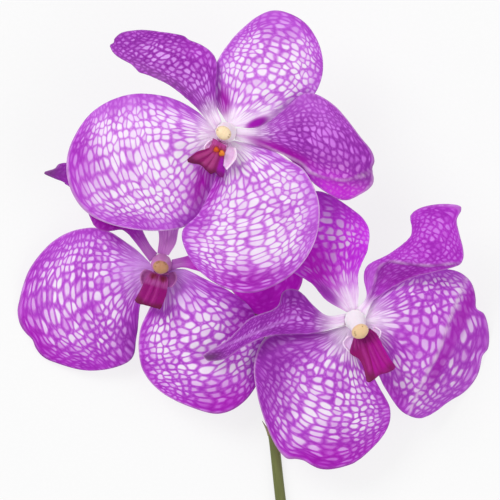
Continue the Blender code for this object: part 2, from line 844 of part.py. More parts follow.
def main():
    """Build the whole spray."""
    clear_scene()
    parts = add_collection("vanda_orchid_spray")
    cutters = add_collection("cutters")
    materials = {
        "petal": make_material("sepal_and_petal_tissue", (0.48, 0.09, 0.56), 0.5),
        "lip": make_material("lip_tissue", (0.24, 0.005, 0.10), 0.4),
        "column": make_material("column_tissue", (0.85, 0.76, 0.86), 0.45),
        "cap": make_material("anther_cap_tissue", (0.86, 0.70, 0.42), 0.45),
        "stem": make_material("green_stem_tissue", (0.19, 0.21, 0.05), 0.55),
    }
    root = add_empty("spray_origin", ORIGIN_SHIFT, parts)
    build_stem(parts, cutters, materials["stem"], root)
    for bloom in BLOOMS:
        build_bloom(bloom, parts, cutters, materials, root)


if __name__ == "__main__":
    main()
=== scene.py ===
"""Looks of a cut vanda orchid spray: three netted blooms on one green stem, lying face up.

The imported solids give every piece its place. Each sepal, petal, lip, column, cap, stalk and
the stem is replaced here by a finer piece of the same form, with its veins, net and washes
of colour. Lengths in the classes are millimetres, turned to metres by MM.
"""

import logging
import math
from dataclasses import dataclass, field
from enum import Enum
from functools import partial
from typing import Any

import bpy
import numpy as np
from bpy.types import Material, Node, NodeSocket, NodeTree, Object
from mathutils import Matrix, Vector


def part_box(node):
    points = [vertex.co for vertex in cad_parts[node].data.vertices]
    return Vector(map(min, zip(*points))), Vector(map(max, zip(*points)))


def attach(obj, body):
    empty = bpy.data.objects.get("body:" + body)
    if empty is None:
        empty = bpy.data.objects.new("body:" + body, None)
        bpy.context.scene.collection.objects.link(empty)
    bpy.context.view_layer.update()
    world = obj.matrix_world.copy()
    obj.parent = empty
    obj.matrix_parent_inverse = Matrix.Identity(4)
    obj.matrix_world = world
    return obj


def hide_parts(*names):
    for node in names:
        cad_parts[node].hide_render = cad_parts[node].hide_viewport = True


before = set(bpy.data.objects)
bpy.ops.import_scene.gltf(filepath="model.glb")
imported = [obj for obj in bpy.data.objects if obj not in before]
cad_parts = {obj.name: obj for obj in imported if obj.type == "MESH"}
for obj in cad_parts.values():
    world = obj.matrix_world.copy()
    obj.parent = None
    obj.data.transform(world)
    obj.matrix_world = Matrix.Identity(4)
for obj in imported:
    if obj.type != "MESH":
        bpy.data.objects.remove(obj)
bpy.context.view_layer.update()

MM = 0.001
LOG = logging.getLogger("orchid")
SEED = 20
SEPAL_LEVEL = -1.7
PETAL_LEVEL = -0.5
LIP_LEVEL = 1.9


# Colours


class Shade(Enum):
    """Tissue colours, as sRGB hex values; the glowing ones are painted glow for tissue lying in shade."""

    CLAW_WHITE = "#F1E5F3"
    WHITE = "#E8DDEC"
    PALE_LILAC = "#DEC4E7"
    LILAC = "#D39BE6"
    PINK_LILAC = "#CC7AE0"
    ORCHID = "#BD62D3"
    VIOLET = "#AE46C6"
    MAGENTA = "#A62CB9"
    DEEP_MAGENTA = "#9F0EAA"
    DARK_MAGENTA = "#98009B"
    # Painted glow: brightened so that tissue lying in shade looks lit through.
    GLOWING_VIOLET = "#E63CF4"
    BRIGHT_VIOLET = "#C42EDC"
    DUSK = "#6A3C70"
    PURPLE = "#8E2CA1"
    GREY_PURPLE = "#875590"
    MAUVE = "#C07AC6"
    # Painted glow: brightened so that tissue lying in shade looks lit through.
    GLOWING_MAGENTA = "#CC15CF"
    GLOWING_ORCHID = "#E072E9"
    GLOWING_MAUVE = "#ECA6EC"
    # The margin's pale line, also the painted highlight along sharp creases.
    RIM = "#E4C0E7"


def linear(colour: Shade | str) -> np.ndarray:
    """Turn an sRGB colour to linear red, green and blue.

    Args:
        colour: The shade, or a hex value with its leading mark.

    Returns:
        The three linear values.
    """
    code = colour.value if isinstance(colour, Shade) else colour
    values = np.array([int(code[start:start + 2], 16) / 255.0 for start in (1, 3, 5)])
    return np.where(values <= 0.04045, values / 12.92, ((values + 0.055) / 1.055) ** 2.4)


def tinted(colour: np.ndarray, shade: Shade | str, share: np.ndarray) -> np.ndarray:
    """Return linear colours taken towards a shade, by each point's share between 0 and 1."""
    return colour + (linear(shade) - colour) * share[..., None]


# Plan and curves


def smooth_step(value: np.ndarray | float) -> np.ndarray:
    """Return a smooth rise from 0 to 1 as the value goes from 0 to 1."""
    share = np.clip(value, 0.0, 1.0)
    return share * share * (3.0 - 2.0 * share)


def direction(azimuth: float) -> np.ndarray:
    """Return the plan direction of an azimuth in degrees."""
    return np.array((math.cos(math.radians(azimuth)), math.sin(math.radians(azimuth))))


def right_of(ahead: np.ndarray) -> np.ndarray:
    """Return the plan direction to the right of another."""
    return np.array((ahead[1], -ahead[0]))


def unit(vectors: np.ndarray) -> np.ndarray:
    """Return vectors along the last axis at a length of 1."""
    return vectors / np.linalg.norm(vectors, axis=-1, keepdims=True)


def unit_lines(rows: int, columns: int) -> tuple[np.ndarray, np.ndarray]:
    """Return the places across a grid as a row and along it as a column, from 0 to 1."""
    return np.linspace(0.0, 1.0, columns)[None, :], np.linspace(0.0, 1.0, rows)[:, None]


def through(knots: np.ndarray, places: np.ndarray) -> np.ndarray:
    """Read a Catmull-Rom curve at places counted from its second knot.

    Args:
        knots: The knots along the first axis, with one spare knot at each end.
        places: Where to read it, from 0 to the number of inner spans.

    Returns:
        The curve's values at the places.
    """
    index = np.clip(places.astype(int), 0, len(knots) - 4)
    step = (places - index).reshape(-1, *([1] * (knots.ndim - 1)))
    a, b, c, d = (knots[index + shift] for shift in range(4))
    return 0.5 * (2.0 * b + (c - a) * step + (2.0 * a - 5.0 * b + 4.0 * c - d) * step ** 2
                  + (3.0 * b - 3.0 * c + d - a) * step ** 3)


def with_spare_knots(knots: np.ndarray) -> np.ndarray:
    """Return knots with one more at each end, straight on from the last two."""
    return np.concatenate((2.0 * knots[:1] - knots[1:2], knots, 2.0 * knots[-1:] - knots[-2:-1]))


def smooth_path(points: Any, count: int) -> np.ndarray:
    """Sample a smooth curve through points at even steps of length.

    Args:
        points: The curve's points, one row each.
        count: How many samples to return.

    Returns:
        The samples, one row each.
    """
    path = np.array(points, dtype=float)
    fine = through(with_spare_knots(path), np.linspace(0.0, len(path) - 1.0, 24 * (len(path) - 1) + 1))
    steps = np.linalg.norm(np.diff(fine, axis=0), axis=1)
    lengths = np.concatenate(([0.0], np.cumsum(steps)))
    wanted = np.linspace(0.0, lengths[-1], count)
    return np.column_stack([np.interp(wanted, lengths, column) for column in fine.T])


def refine(grid: np.ndarray, rows: int, columns: int) -> np.ndarray:
    """Read a coarse grid of plan points at a finer grid's lines.

    Args:
        grid: The coarse grid.
        rows: The finer grid's rows.
        columns: Its columns.

    Returns:
        The finer grid of plan points.
    """
    for count in (rows, columns):
        places = np.linspace(0.0, len(grid) - 1.0, count)
        grid = through(with_spare_knots(grid), places).swapaxes(0, 1)
    return grid


def relax_grid(grid: np.ndarray, rounds: int = 900, pace: float = 0.6) -> np.ndarray:
    """Even out a plan grid's inner points, so that its lines never cross (Winslow).

    Args:
        grid: The grid, whose outer points stay.
        rounds: How often each point is moved.
        pace: The share of the way that it is moved each time.

    Returns:
        The same grid, evened out.
    """
    for _ in range(rounds):
        by_row = (grid[2:, 1:-1] - grid[:-2, 1:-1]) * 0.5
        by_column = (grid[1:-1, 2:] - grid[1:-1, :-2]) * 0.5
        row_weight = (by_column ** 2).sum(axis=-1, keepdims=True)
        column_weight = (by_row ** 2).sum(axis=-1, keepdims=True)
        mixed = (by_row * by_column).sum(axis=-1, keepdims=True)
        twist = grid[2:, 2:] - grid[2:, :-2] - grid[:-2, 2:] + grid[:-2, :-2]
        rows = row_weight * (grid[2:, 1:-1] + grid[:-2, 1:-1])
        columns = column_weight * (grid[1:-1, 2:] + grid[1:-1, :-2])
        wanted = (rows + columns - 0.5 * mixed * twist) / (2.0 * (row_weight + column_weight) + 1e-9)
        grid[1:-1, 1:-1] += pace * (wanted - grid[1:-1, 1:-1])
    return grid


# Making meshes by Blender's own operators


def deselect() -> None:
    """Leave nothing selected in object mode."""
    bpy.ops.object.select_all(action="DESELECT")


def named(obj: Object, name: str) -> Object:
    """Give a piece and its mesh one name."""
    obj.name = obj.data.name = name
    return obj


def read_places(obj: Object) -> np.ndarray:
    """Read a mesh's points.

    Args:
        obj: The piece.

    Returns:
        Its points in millimetres, one row each.
    """
    flat = np.empty(len(obj.data.vertices) * 3, dtype=np.float32)
    obj.data.vertices.foreach_get("co", flat)
    return flat.reshape(-1, 3).astype(float) / MM


def write_places(obj: Object, places: np.ndarray) -> None:
    """Move a mesh's points to places in millimetres."""
    obj.data.vertices.foreach_set("co", (places * MM).astype(np.float32).ravel())
    obj.data.update()


def grid_piece(name: str, places: np.ndarray) -> Object:
    """Add a grid primitive and shape it to rows and columns of places.

    Args:
        name: The piece's name.
        places: Millimetres, as rows by columns by three.

    Returns:
        The shaped sheet, selected and active.
    """
    rows, columns = places.shape[:2]
    deselect()
    bpy.ops.mesh.primitive_grid_add(x_subdivisions=columns - 1, y_subdivisions=rows - 1, size=2.0)
    obj = named(bpy.context.active_object, name)
    write_places(obj, places)
    return obj


def ball_piece(name: str, segments: int, rings: int) -> Object:
    """Add a ball 2 m across, to be shaped and scaled down.

    Args:
        name: The piece's name.
        segments: Its faces round the middle.
        rings: Its faces from pole to pole.

    Returns:
        The ball, selected and active.
    """
    deselect()
    bpy.ops.mesh.primitive_uv_sphere_add(segments=segments, ring_count=rings, radius=1.0)
    return named(bpy.context.active_object, name)


def weld(threshold: float, capped: bool = False) -> None:
    """Merge the active mesh's doubled points and turn its faces outward.

    Args:
        threshold: How near two points are merged, in metres.
        capped: Whether its open ends are filled.
    """
    bpy.ops.object.mode_set(mode="EDIT")
    bpy.ops.mesh.select_all(action="SELECT")
    bpy.ops.mesh.remove_doubles(threshold=threshold)
    if capped:
        bpy.ops.mesh.select_all(action="DESELECT")
        bpy.ops.mesh.select_non_manifold()
        bpy.ops.mesh.fill()
        bpy.ops.mesh.select_all(action="SELECT")
    bpy.ops.mesh.normals_make_consistent(inside=False)
    bpy.ops.object.mode_set(mode="OBJECT")


def spot_colour(obj: Object, name: str, values: np.ndarray) -> None:
    """Write one colour with alpha to each point, under an attribute's name."""
    layer = obj.data.color_attributes.new(name, "FLOAT_COLOR", "POINT")
    layer.data.foreach_set("color", values.astype(np.float32).ravel())


def paint_tint(obj: Object, colour: np.ndarray) -> None:
    """Write the tint that fleshy and green tissue reads, one linear colour to a point."""
    spot_colour(obj, "tint", np.column_stack((colour, np.ones(len(colour)))))


def finish_modifier(obj: Object, kind: str, **settings: Any) -> None:
    """Add one modifier with its settings and apply it.

    Args:
        obj: The piece.
        kind: The modifier's type.
        settings: Its properties by name.
    """
    step = obj.modifiers.new(kind.lower(), kind)
    for name, value in settings.items():
        setattr(step, name, value)
    with bpy.context.temp_override(object=obj, active_object=obj):
        bpy.ops.object.modifier_apply(modifier=step.name)


def join(pieces: list[Object], name: str) -> Object:
    """Join pieces into the first one.

    Args:
        pieces: The pieces.
        name: The name of the whole.

    Returns:
        The whole, shaded smooth.
    """
    deselect()
    for piece in pieces:
        piece.select_set(True)
    bpy.context.view_layer.objects.active = pieces[0]
    bpy.ops.object.join()
    pieces[0].data.shade_smooth()
    return named(pieces[0], name)


# Materials


def plug(tree: NodeTree, value: Any, socket: NodeSocket) -> None:
    """Give a socket its value or its link.

    Args:
        tree: The material's tree.
        value: A value, an output to link from, or a node whose first output in use is linked.
        socket: The input.
    """
    if isinstance(value, Node):
        value = next(output for output in value.outputs if output.enabled)
    if isinstance(value, NodeSocket):
        tree.links.new(value, socket)
    else:
        socket.default_value = value


def add_node(tree: NodeTree, kind: str, inputs: dict | None = None, **settings: Any) -> Node:
    """Add one shader node.

    Args:
        tree: The material's tree.
        kind: The node's type, without its common beginning.
        inputs: What each input takes, by the input's name or number.
        settings: The node's properties by name.

    Returns:
        The node.
    """
    node = tree.nodes.new(f"ShaderNode{kind}")
    for name, value in settings.items():
        setattr(node, name, value)
    for name, value in (inputs or {}).items():
        plug(tree, value, node.inputs[name])
    return node


@dataclass(frozen=True)
class Finish:
    """What every finish has: a name, a gloss, and a fine relief on its own pattern."""

    name: str
    roughness: float = 0.45
    relief_mm: float = 0.0
    relief_strength: float = 0.6

    def surface(self, tree: NodeTree) -> tuple[Node, Node]:
        """Return the node that gives the colour and the one that gives the relief."""
        raise NotImplementedError

    def sockets(self) -> dict[str, Any]:
        """Return what the shader's other sockets are set to."""
        return {}

    def material(self) -> Material:
        """Build the material.

        Returns:
            The material.
        """
        material = bpy.data.materials.new(self.name)
        material.use_nodes = True
        tree = material.node_tree
        colour, pattern = self.surface(tree)
        values = {"Base Color": colour, "Roughness": self.roughness, **self.sockets()}
        if self.relief_mm:
            values["Normal"] = add_node(tree, "Bump", {
                "Height": pattern, "Distance": self.relief_mm * MM, "Strength": self.relief_strength})
        for name, value in values.items():
            plug(tree, value, tree.nodes["Principled BSDF"].inputs[name])
        return material


@dataclass(frozen=True)
class NettedTissue(Finish):
    """Fresh petal tissue, grown thin and waxy, with a magenta net over pale cells.

    The eye sees soft cells, rounder and whiter in the middle of a blade, between lines that
    deepen in patches, under a weak satin sheen. The net follows the veins through the
    sheet's own map, where one unit is one cell of about 2 mm, and the cells and the lines
    take their colours from the sheet's attributes. A pair of numbers gives how much a
    measure changes with what drives it, and the measure that it starts from.
    """

    roughness: float = 0.46
    relief_mm: float = 0.05
    underside: bool = False
    unevenness: float = 0.62
    wander: float = 0.9
    swirls_per_cell: float = 0.45
    patches_per_cell: float = 0.22
    patch_sway: tuple[float, float] = (0.9, -0.63)
    luck_sway: float = 0.4
    net_starts: tuple[float, float] = (-0.22, 0.09)
    net_ends: tuple[float, float] = (-0.23, 0.45)
    cell_radius: tuple[float, float] = (0.2, 0.52)
    fullness: tuple[float, float] = (0.5, 0.35)
    fullness_luck: float = 0.35
    specks_per_cell: float = 2.3
    speck_strength: float = 0.34
    patch_depth: float = 0.6
    patch_tone: tuple[float, float, float, float] = (0.82, 0.5, 0.84, 1.0)
    grain_per_m: float = 420.0
    grain_tone: tuple[float, float] = (0.16, 0.92)
    back_tint: str = "#D9B2DE"

    def openness(self, tree: NodeTree, patches: Node, luck: NodeSocket) -> Node:
        """Return how open each cell is: the sheet's own value, stirred by cell and by patch.

        Args:
            tree: The material's tree.
            patches: The noise that deepens the net in patches.
            luck: Each cell's own random value.

        Returns:
            The node that gives the openness.
        """
        node = partial(add_node, tree)
        change, start = self.patch_sway
        stirred = node("Math", {0: patches, 1: change, 2: start}, operation="MULTIPLY_ADD")
        stirred = node("Math", {0: luck, 1: self.luck_sway, 2: stirred}, operation="MULTIPLY_ADD")
        own = node("Attribute", attribute_name="cell").outputs["Alpha"]
        return node("Math", {0: own, 1: stirred}, operation="ADD", use_clamp=True)

    def paleness(self, tree: NodeTree, place: Node, patches: Node) -> Node:
        """Return the share of the cell's colour: 1 inside an open cell, 0 on the net.

        Args:
            tree: The material's tree.
            place: The sheet's own map.
            patches: The noise that deepens the net in patches.

        Returns:
            The node that gives the share.
        """
        node = partial(add_node, tree)
        wander = node("TexNoise", {"Vector": place, "Scale": self.swirls_per_cell, "Detail": 1.0},
                      noise_dimensions="2D")
        sway = (self.wander, self.wander, 0.0)
        moved = node("VectorMath", {0: wander.outputs["Color"], 1: sway, 2: place}, operation="MULTIPLY_ADD")
        cells = {"Vector": moved, "Scale": 1.0, "Randomness": self.unevenness}
        edge = node("TexVoronoi", cells, voronoi_dimensions="2D", feature="DISTANCE_TO_EDGE")
        each = node("TexVoronoi", cells, voronoi_dimensions="2D", feature="F1")
        own, luck, _ = node("SeparateColor", {0: each.outputs["Color"]}).outputs
        openness = self.openness(tree, patches, own)
        pairs = (self.net_starts, self.net_ends, self.cell_radius, self.fullness)
        near, far, outer, fullness = (
            node("Math", {0: openness, 1: change, 2: start}, operation="MULTIPLY_ADD")
            for change, start in pairs)
        inside = node("MapRange", {0: edge, 1: near, 2: far}, interpolation_type="SMOOTHSTEP")
        inner = node("Math", {0: outer, 1: 0.5}, operation="MULTIPLY")
        rounded = node("MapRange", {0: each, 1: outer, 2: inner}, interpolation_type="SMOOTHSTEP")
        fullness = node("Math", {0: luck, 1: self.fullness_luck, 2: fullness}, operation="MULTIPLY_ADD",
                        use_clamp=True)
        pale = node("Math", {0: inside, 1: rounded}, operation="MULTIPLY")
        pale = node("Math", {0: pale, 1: fullness}, operation="MULTIPLY")
        specks = node("TexVoronoi", {"Vector": moved, "Scale": self.specks_per_cell, "Randomness": 0.9},
                      voronoi_dimensions="2D", feature="F1")
        speck = node("MapRange", {0: specks, 1: 0.5, 2: 0.12, 4: self.speck_strength},
                     interpolation_type="SMOOTHSTEP")
        ready = node("Math", {0: openness, 1: 0.25}, operation="ADD")
        speck = node("Math", {0: speck, 1: ready}, operation="MULTIPLY")
        return node("Math", {0: pale, 1: speck}, operation="MAXIMUM")

    def colour(self, tree: NodeTree, pale: Node, patches: Node) -> Node:
        """Return the colour: from the net through a saturated middle tone to the cell.

        Args:
            tree: The material's tree.
            pale: The share of the cell's colour.
            patches: The noise that deepens the net in patches.

        Returns:
            The node that gives the colour.
        """
        node = partial(add_node, tree)
        cell, line = (node("Attribute", attribute_name=name).outputs["Color"] for name in ("cell", "line"))
        depth = node("MapRange", {0: patches, 1: 0.62, 2: 0.36, 4: self.patch_depth},
                     interpolation_type="SMOOTHSTEP")
        deep = node("Mix", {0: 1.0, 6: line, 7: self.patch_tone}, data_type="RGBA", blend_type="MULTIPLY")
        net = node("Mix", {0: depth, 6: line, 7: deep}, data_type="RGBA")
        middle = node("Mix", {0: 1.0, 6: net, 7: cell}, data_type="RGBA", blend_type="MULTIPLY")
        middle = node("Gamma", {"Color": middle, "Gamma": 0.5})
        low = node("Math", {0: pale, 1: 2.0}, operation="MULTIPLY", use_clamp=True)
        high = node("Math", {0: pale, 1: 2.0, 2: -1.0}, operation="MULTIPLY_ADD", use_clamp=True)
        colour = node("Mix", {0: low, 6: net, 7: middle}, data_type="RGBA")
        colour = node("Mix", {0: high, 6: colour, 7: cell}, data_type="RGBA")
        where = node("TexCoord").outputs["Object"]
        grain = node("TexNoise", {"Vector": where, "Scale": self.grain_per_m, "Detail": 3.0})
        change, start = self.grain_tone
        tone = node("Math", {0: grain, 1: change, 2: start}, operation="MULTIPLY_ADD")
        colour = node("Mix", {0: 1.0, 6: colour, 7: tone}, data_type="RGBA", blend_type="MULTIPLY")
        if self.underside:
            back = (*linear(self.back_tint), 1.0)
            colour = node("Mix", {0: 0.5, 6: colour, 7: back}, data_type="RGBA")
        return colour

    def surface(self, tree: NodeTree) -> tuple[Node, Node]:
        """Colour the net and its cells, and let the cells stand up as pillows.

        Args:
            tree: The material's tree.

        Returns:
            The node that gives the colour and the one that gives the relief.
        """
        place = add_node(tree, "UVMap", uv_map="veins")
        noise = {"Vector": place, "Scale": self.patches_per_cell, "Detail": 2.0}
        patches = add_node(tree, "TexNoise", noise, noise_dimensions="2D")
        pale = self.paleness(tree, place, patches)
        return self.colour(tree, pale, patches), pale

    def sockets(self) -> dict[str, Any]:
        """Return a weak sheen and a little light that passes under the skin."""
        return {"IOR": 1.42, "Specular IOR Level": 0.14, "Subsurface Weight": 0.12,
                "Subsurface Radius": (1.0, 0.45, 0.9), "Subsurface Scale": 0.4 * MM}


@dataclass(frozen=True)
class FleshyTissue(Finish):
    """Thick smooth tissue of the lip, the column or the cap, grown waxy.

    The eye sees one soft colour, painted per point, with a faint mottle of about 1 mm and
    a satin shine that rounds the forms.
    """

    relief_mm: float = 0.02
    relief_strength: float = 0.5
    mottle: float = 0.14
    mottle_per_m: float = 900.0
    shine: float = 0.4

    def surface(self, tree: NodeTree) -> tuple[Node, Node]:
        """Mottle the tint.

        Args:
            tree: The material's tree.

        Returns:
            The node that gives the colour and the one that gives the relief.
        """
        node = partial(add_node, tree)
        tint = node("Attribute", attribute_name="tint").outputs["Color"]
        where = node("TexCoord").outputs["Object"]
        spots = node("TexNoise", {"Vector": where, "Scale": self.mottle_per_m, "Detail": 3.0})
        tone = node("Math", {0: spots, 1: 2.0 * self.mottle, 2: 1.0 - self.mottle}, operation="MULTIPLY_ADD")
        return node("Mix", {0: 1.0, 6: tint, 7: tone}, data_type="RGBA", blend_type="MULTIPLY"), spots

    def sockets(self) -> dict[str, Any]:
        """Return the shine and the light that passes through thick tissue."""
        return {"IOR": 1.42, "Specular IOR Level": self.shine, "Subsurface Weight": 0.15,
                "Subsurface Radius": (1.0, 0.5, 0.6), "Subsurface Scale": 0.6 * MM}


@dataclass(frozen=True)
class StemTissue(Finish):
    """Smooth olive green skin of the stem and the stalks, grown satin.

    The eye sees fine darker streaks that run along it, a third of a millimetre apart.
    """

    name: str = "smooth_green_stem_skin"
    roughness: float = 0.5
    relief_mm: float = 0.04
    streak_tone: tuple[float, float] = (0.7, 0.65)

    def surface(self, tree: NodeTree) -> tuple[Node, Node]:
        """Streak the tint.

        Args:
            tree: The material's tree.

        Returns:
            The node that gives the colour and the one that gives the relief.
        """
        node = partial(add_node, tree)
        tint = node("Attribute", attribute_name="tint").outputs["Color"]
        place = node("UVMap", uv_map="along")
        streaks = node("TexNoise", {"Vector": place, "Scale": 1.0, "Detail": 4.0, "Roughness": 0.6},
                       noise_dimensions="2D")
        change, start = self.streak_tone
        tone = node("Math", {0: streaks, 1: change, 2: start}, operation="MULTIPLY_ADD")
        return node("Mix", {0: 1.0, 6: tint, 7: tone}, data_type="RGBA", blend_type="MULTIPLY"), streaks

    def sockets(self) -> dict[str, Any]:
        """Return the skin's gloss."""
        return {"IOR": 1.42}


@dataclass(frozen=True)
class TablePaint(Finish):
    """Matt white paint on a table top: the eye sees an even pale ground that hides itself."""

    name: str = "matt_white_table_paint"
    roughness: float = 0.9
    grain_per_m: float = 900.0
    grain_tone: tuple[float, float] = (0.02, 0.13)
    glow: float = 0.79

    def surface(self, tree: NodeTree) -> tuple[Node, Node]:
        """Grain the ground faintly.

        Args:
            tree: The material's tree.

        Returns:
            The node that gives the colour and the one that gives the relief.
        """
        where = add_node(tree, "TexCoord").outputs["Object"]
        grain = add_node(tree, "TexNoise", {"Vector": where, "Scale": self.grain_per_m, "Detail": 2.0})
        change, start = self.grain_tone
        return add_node(tree, "Math", {0: grain, 1: change, 2: start}, operation="MULTIPLY_ADD"), grain

    def sockets(self) -> dict[str, Any]:
        """Return the glow that keeps the ground as pale as in a studio."""
        return {"Emission Color": (1.0, 1.0, 1.0, 1.0), "Emission Strength": self.glow}


# What a blade is


@dataclass(frozen=True)
class Fold:
    """A crease through plan points; the blade drops to the right of it, seen along them.

    It eases in from begins over fades, both reaches from the claw. ledge is a sharp step
    down beside it, and crest the strength of the painted highlight along it.
    """

    points: tuple[tuple[float, float], ...]
    steep: float
    radius: float = 1.6
    begins: float = 6.0
    fades: float = 10.0
    ledge: float = 0.0
    crest: float = 0.0

    def beyond(self, plan: np.ndarray) -> np.ndarray:
        """Measure how far plan points lie past the crease.

        Args:
            plan: The plan points.

        Returns:
            Their distances, below 0 on the crease's high side.
        """
        line = smooth_path(self.points, 120)
        ahead = unit(np.gradient(line, axis=0))
        nearest = np.linalg.norm(plan[..., None, :] - line, axis=-1).argmin(axis=-1)
        offset = plan - line[nearest]
        return offset[..., 0] * ahead[nearest][..., 1] - offset[..., 1] * ahead[nearest][..., 0]

    def drop(self, plan: np.ndarray, reach: np.ndarray) -> np.ndarray:
        """Return how far the crease lowers plan points.

        Args:
            plan: The plan points.
            reach: Their distance from the claw.

        Returns:
            The drop at each.
        """
        beyond = self.beyond(plan)
        slope = 0.5 * self.steep * (np.sqrt(beyond ** 2 + self.radius ** 2) + beyond)
        step = self.ledge * smooth_step(beyond / 0.9 + 0.3)
        return smooth_step((reach - self.begins) / self.fades) * (slope + step)


@dataclass(frozen=True)
class Wash:
    """A patch of colour on a blade, in plan from the bloom's centre; some are painted shade or glow.

    size gives its half length and half width, turn its direction, plain how far it hides
    the net, cells the colour that its cells take, and crisp how clear its edge is.
    """

    place: tuple[float, float]
    size: tuple[float, float]
    turn: float
    shade: Shade
    strength: float
    plain: float = 0.0
    cells: Shade = Shade.PINK_LILAC
    crisp: float = 1.0

    def share(self, plan: np.ndarray) -> np.ndarray:
        """Find how strongly the patch colours plan points.

        Args:
            plan: The plan points.

        Returns:
            Its strength at each.
        """
        along = direction(self.turn)
        offset = plan - np.array(self.place)
        spread = ((offset @ along) / self.size[0]) ** 2 + ((offset @ right_of(along)) / self.size[1]) ** 2
        return self.strength * np.exp(-spread ** self.crisp)


@dataclass(frozen=True)
class Paint:
    """The colouring of a blade.

    net gives its cells across and the length of one, rim how much paler the margin is on
    one side and the direction of that side.
    """

    net: tuple[float, float] = (11.0, 2.4)
    cell: Shade = Shade.WHITE
    line: Shade = Shade.VIOLET
    edge_cell: Shade = Shade.LILAC
    edge_line: Shade = Shade.VIOLET
    claw: Shade = Shade.CLAW_WHITE
    claw_length: float = 11.0
    openness: float = 0.8
    rim: tuple[float, float] = (0.0, 0.0)
    washes: tuple[Wash, ...] = ()


@dataclass(frozen=True)
class Blade:
    """One sepal, petal or lip lobe: its outline in plan, a height over it, and its paint.

    rim runs from the claw out along the right side, round the tip and back, seen from
    the bloom's centre looking out. shoulders are the rim points where the sides end, and
    wave gives the height and the phase of the waves round its margin.
    """

    name: str
    azimuth: float
    shoulders: tuple[int, int]
    rim: tuple[tuple[float, float], ...]
    level: float = SEPAL_LEVEL
    lift: float = 0.0
    roll: float = 0.0
    arch: float = 0.0
    cup: float = 0.0
    wave: tuple[float, float] = (0.0, 0.0)
    folds: tuple[Fold, ...] = ()
    claw_half_width: float = 1.9
    claw_reach: float = 3.3
    paint: Paint = field(default_factory=Paint)


@dataclass(frozen=True)
class Ear:
    """A side lobe of the lip: a curved sheet from its base to its free edge."""

    base: tuple[tuple[float, float, float], ...]
    edge: tuple[tuple[float, float, float], ...]
    bulge: float
    tint: str
    edge_tint: str


@dataclass(frozen=True)
class Lip:
    """The lip: its midlobe with its keels, its ears, its calli and its colours.

    A keel is given by its place across the midlobe at the throat and at the tip, a callus
    by its plan place and its colour, and a spot by its plan place, radius and colour.
    """

    midlobe: Blade
    keels: tuple[tuple[float, float], ...]
    ears: tuple[Ear, Ear]
    groove: str
    keel: str
    tip: str
    throat: str
    flank: str
    throat_length: float
    calli: tuple[tuple[float, float, str], ...] = ()
    spots: tuple[tuple[float, float, float, str], ...] = ()


@dataclass(frozen=True)
class Bloom:
    """One bloom: its blades, lip, leaning column and the route of its stalk."""

    name: str
    column_lean: tuple[float, float]
    stalk: tuple[tuple[float, float, float], ...]
    column_tint: str
    cap_size: float
    cap_tint: str
    cap_rim: str
    cap_marks: tuple[tuple[float, float, float], ...]
    lip: Lip
    blades: tuple[Blade, ...]


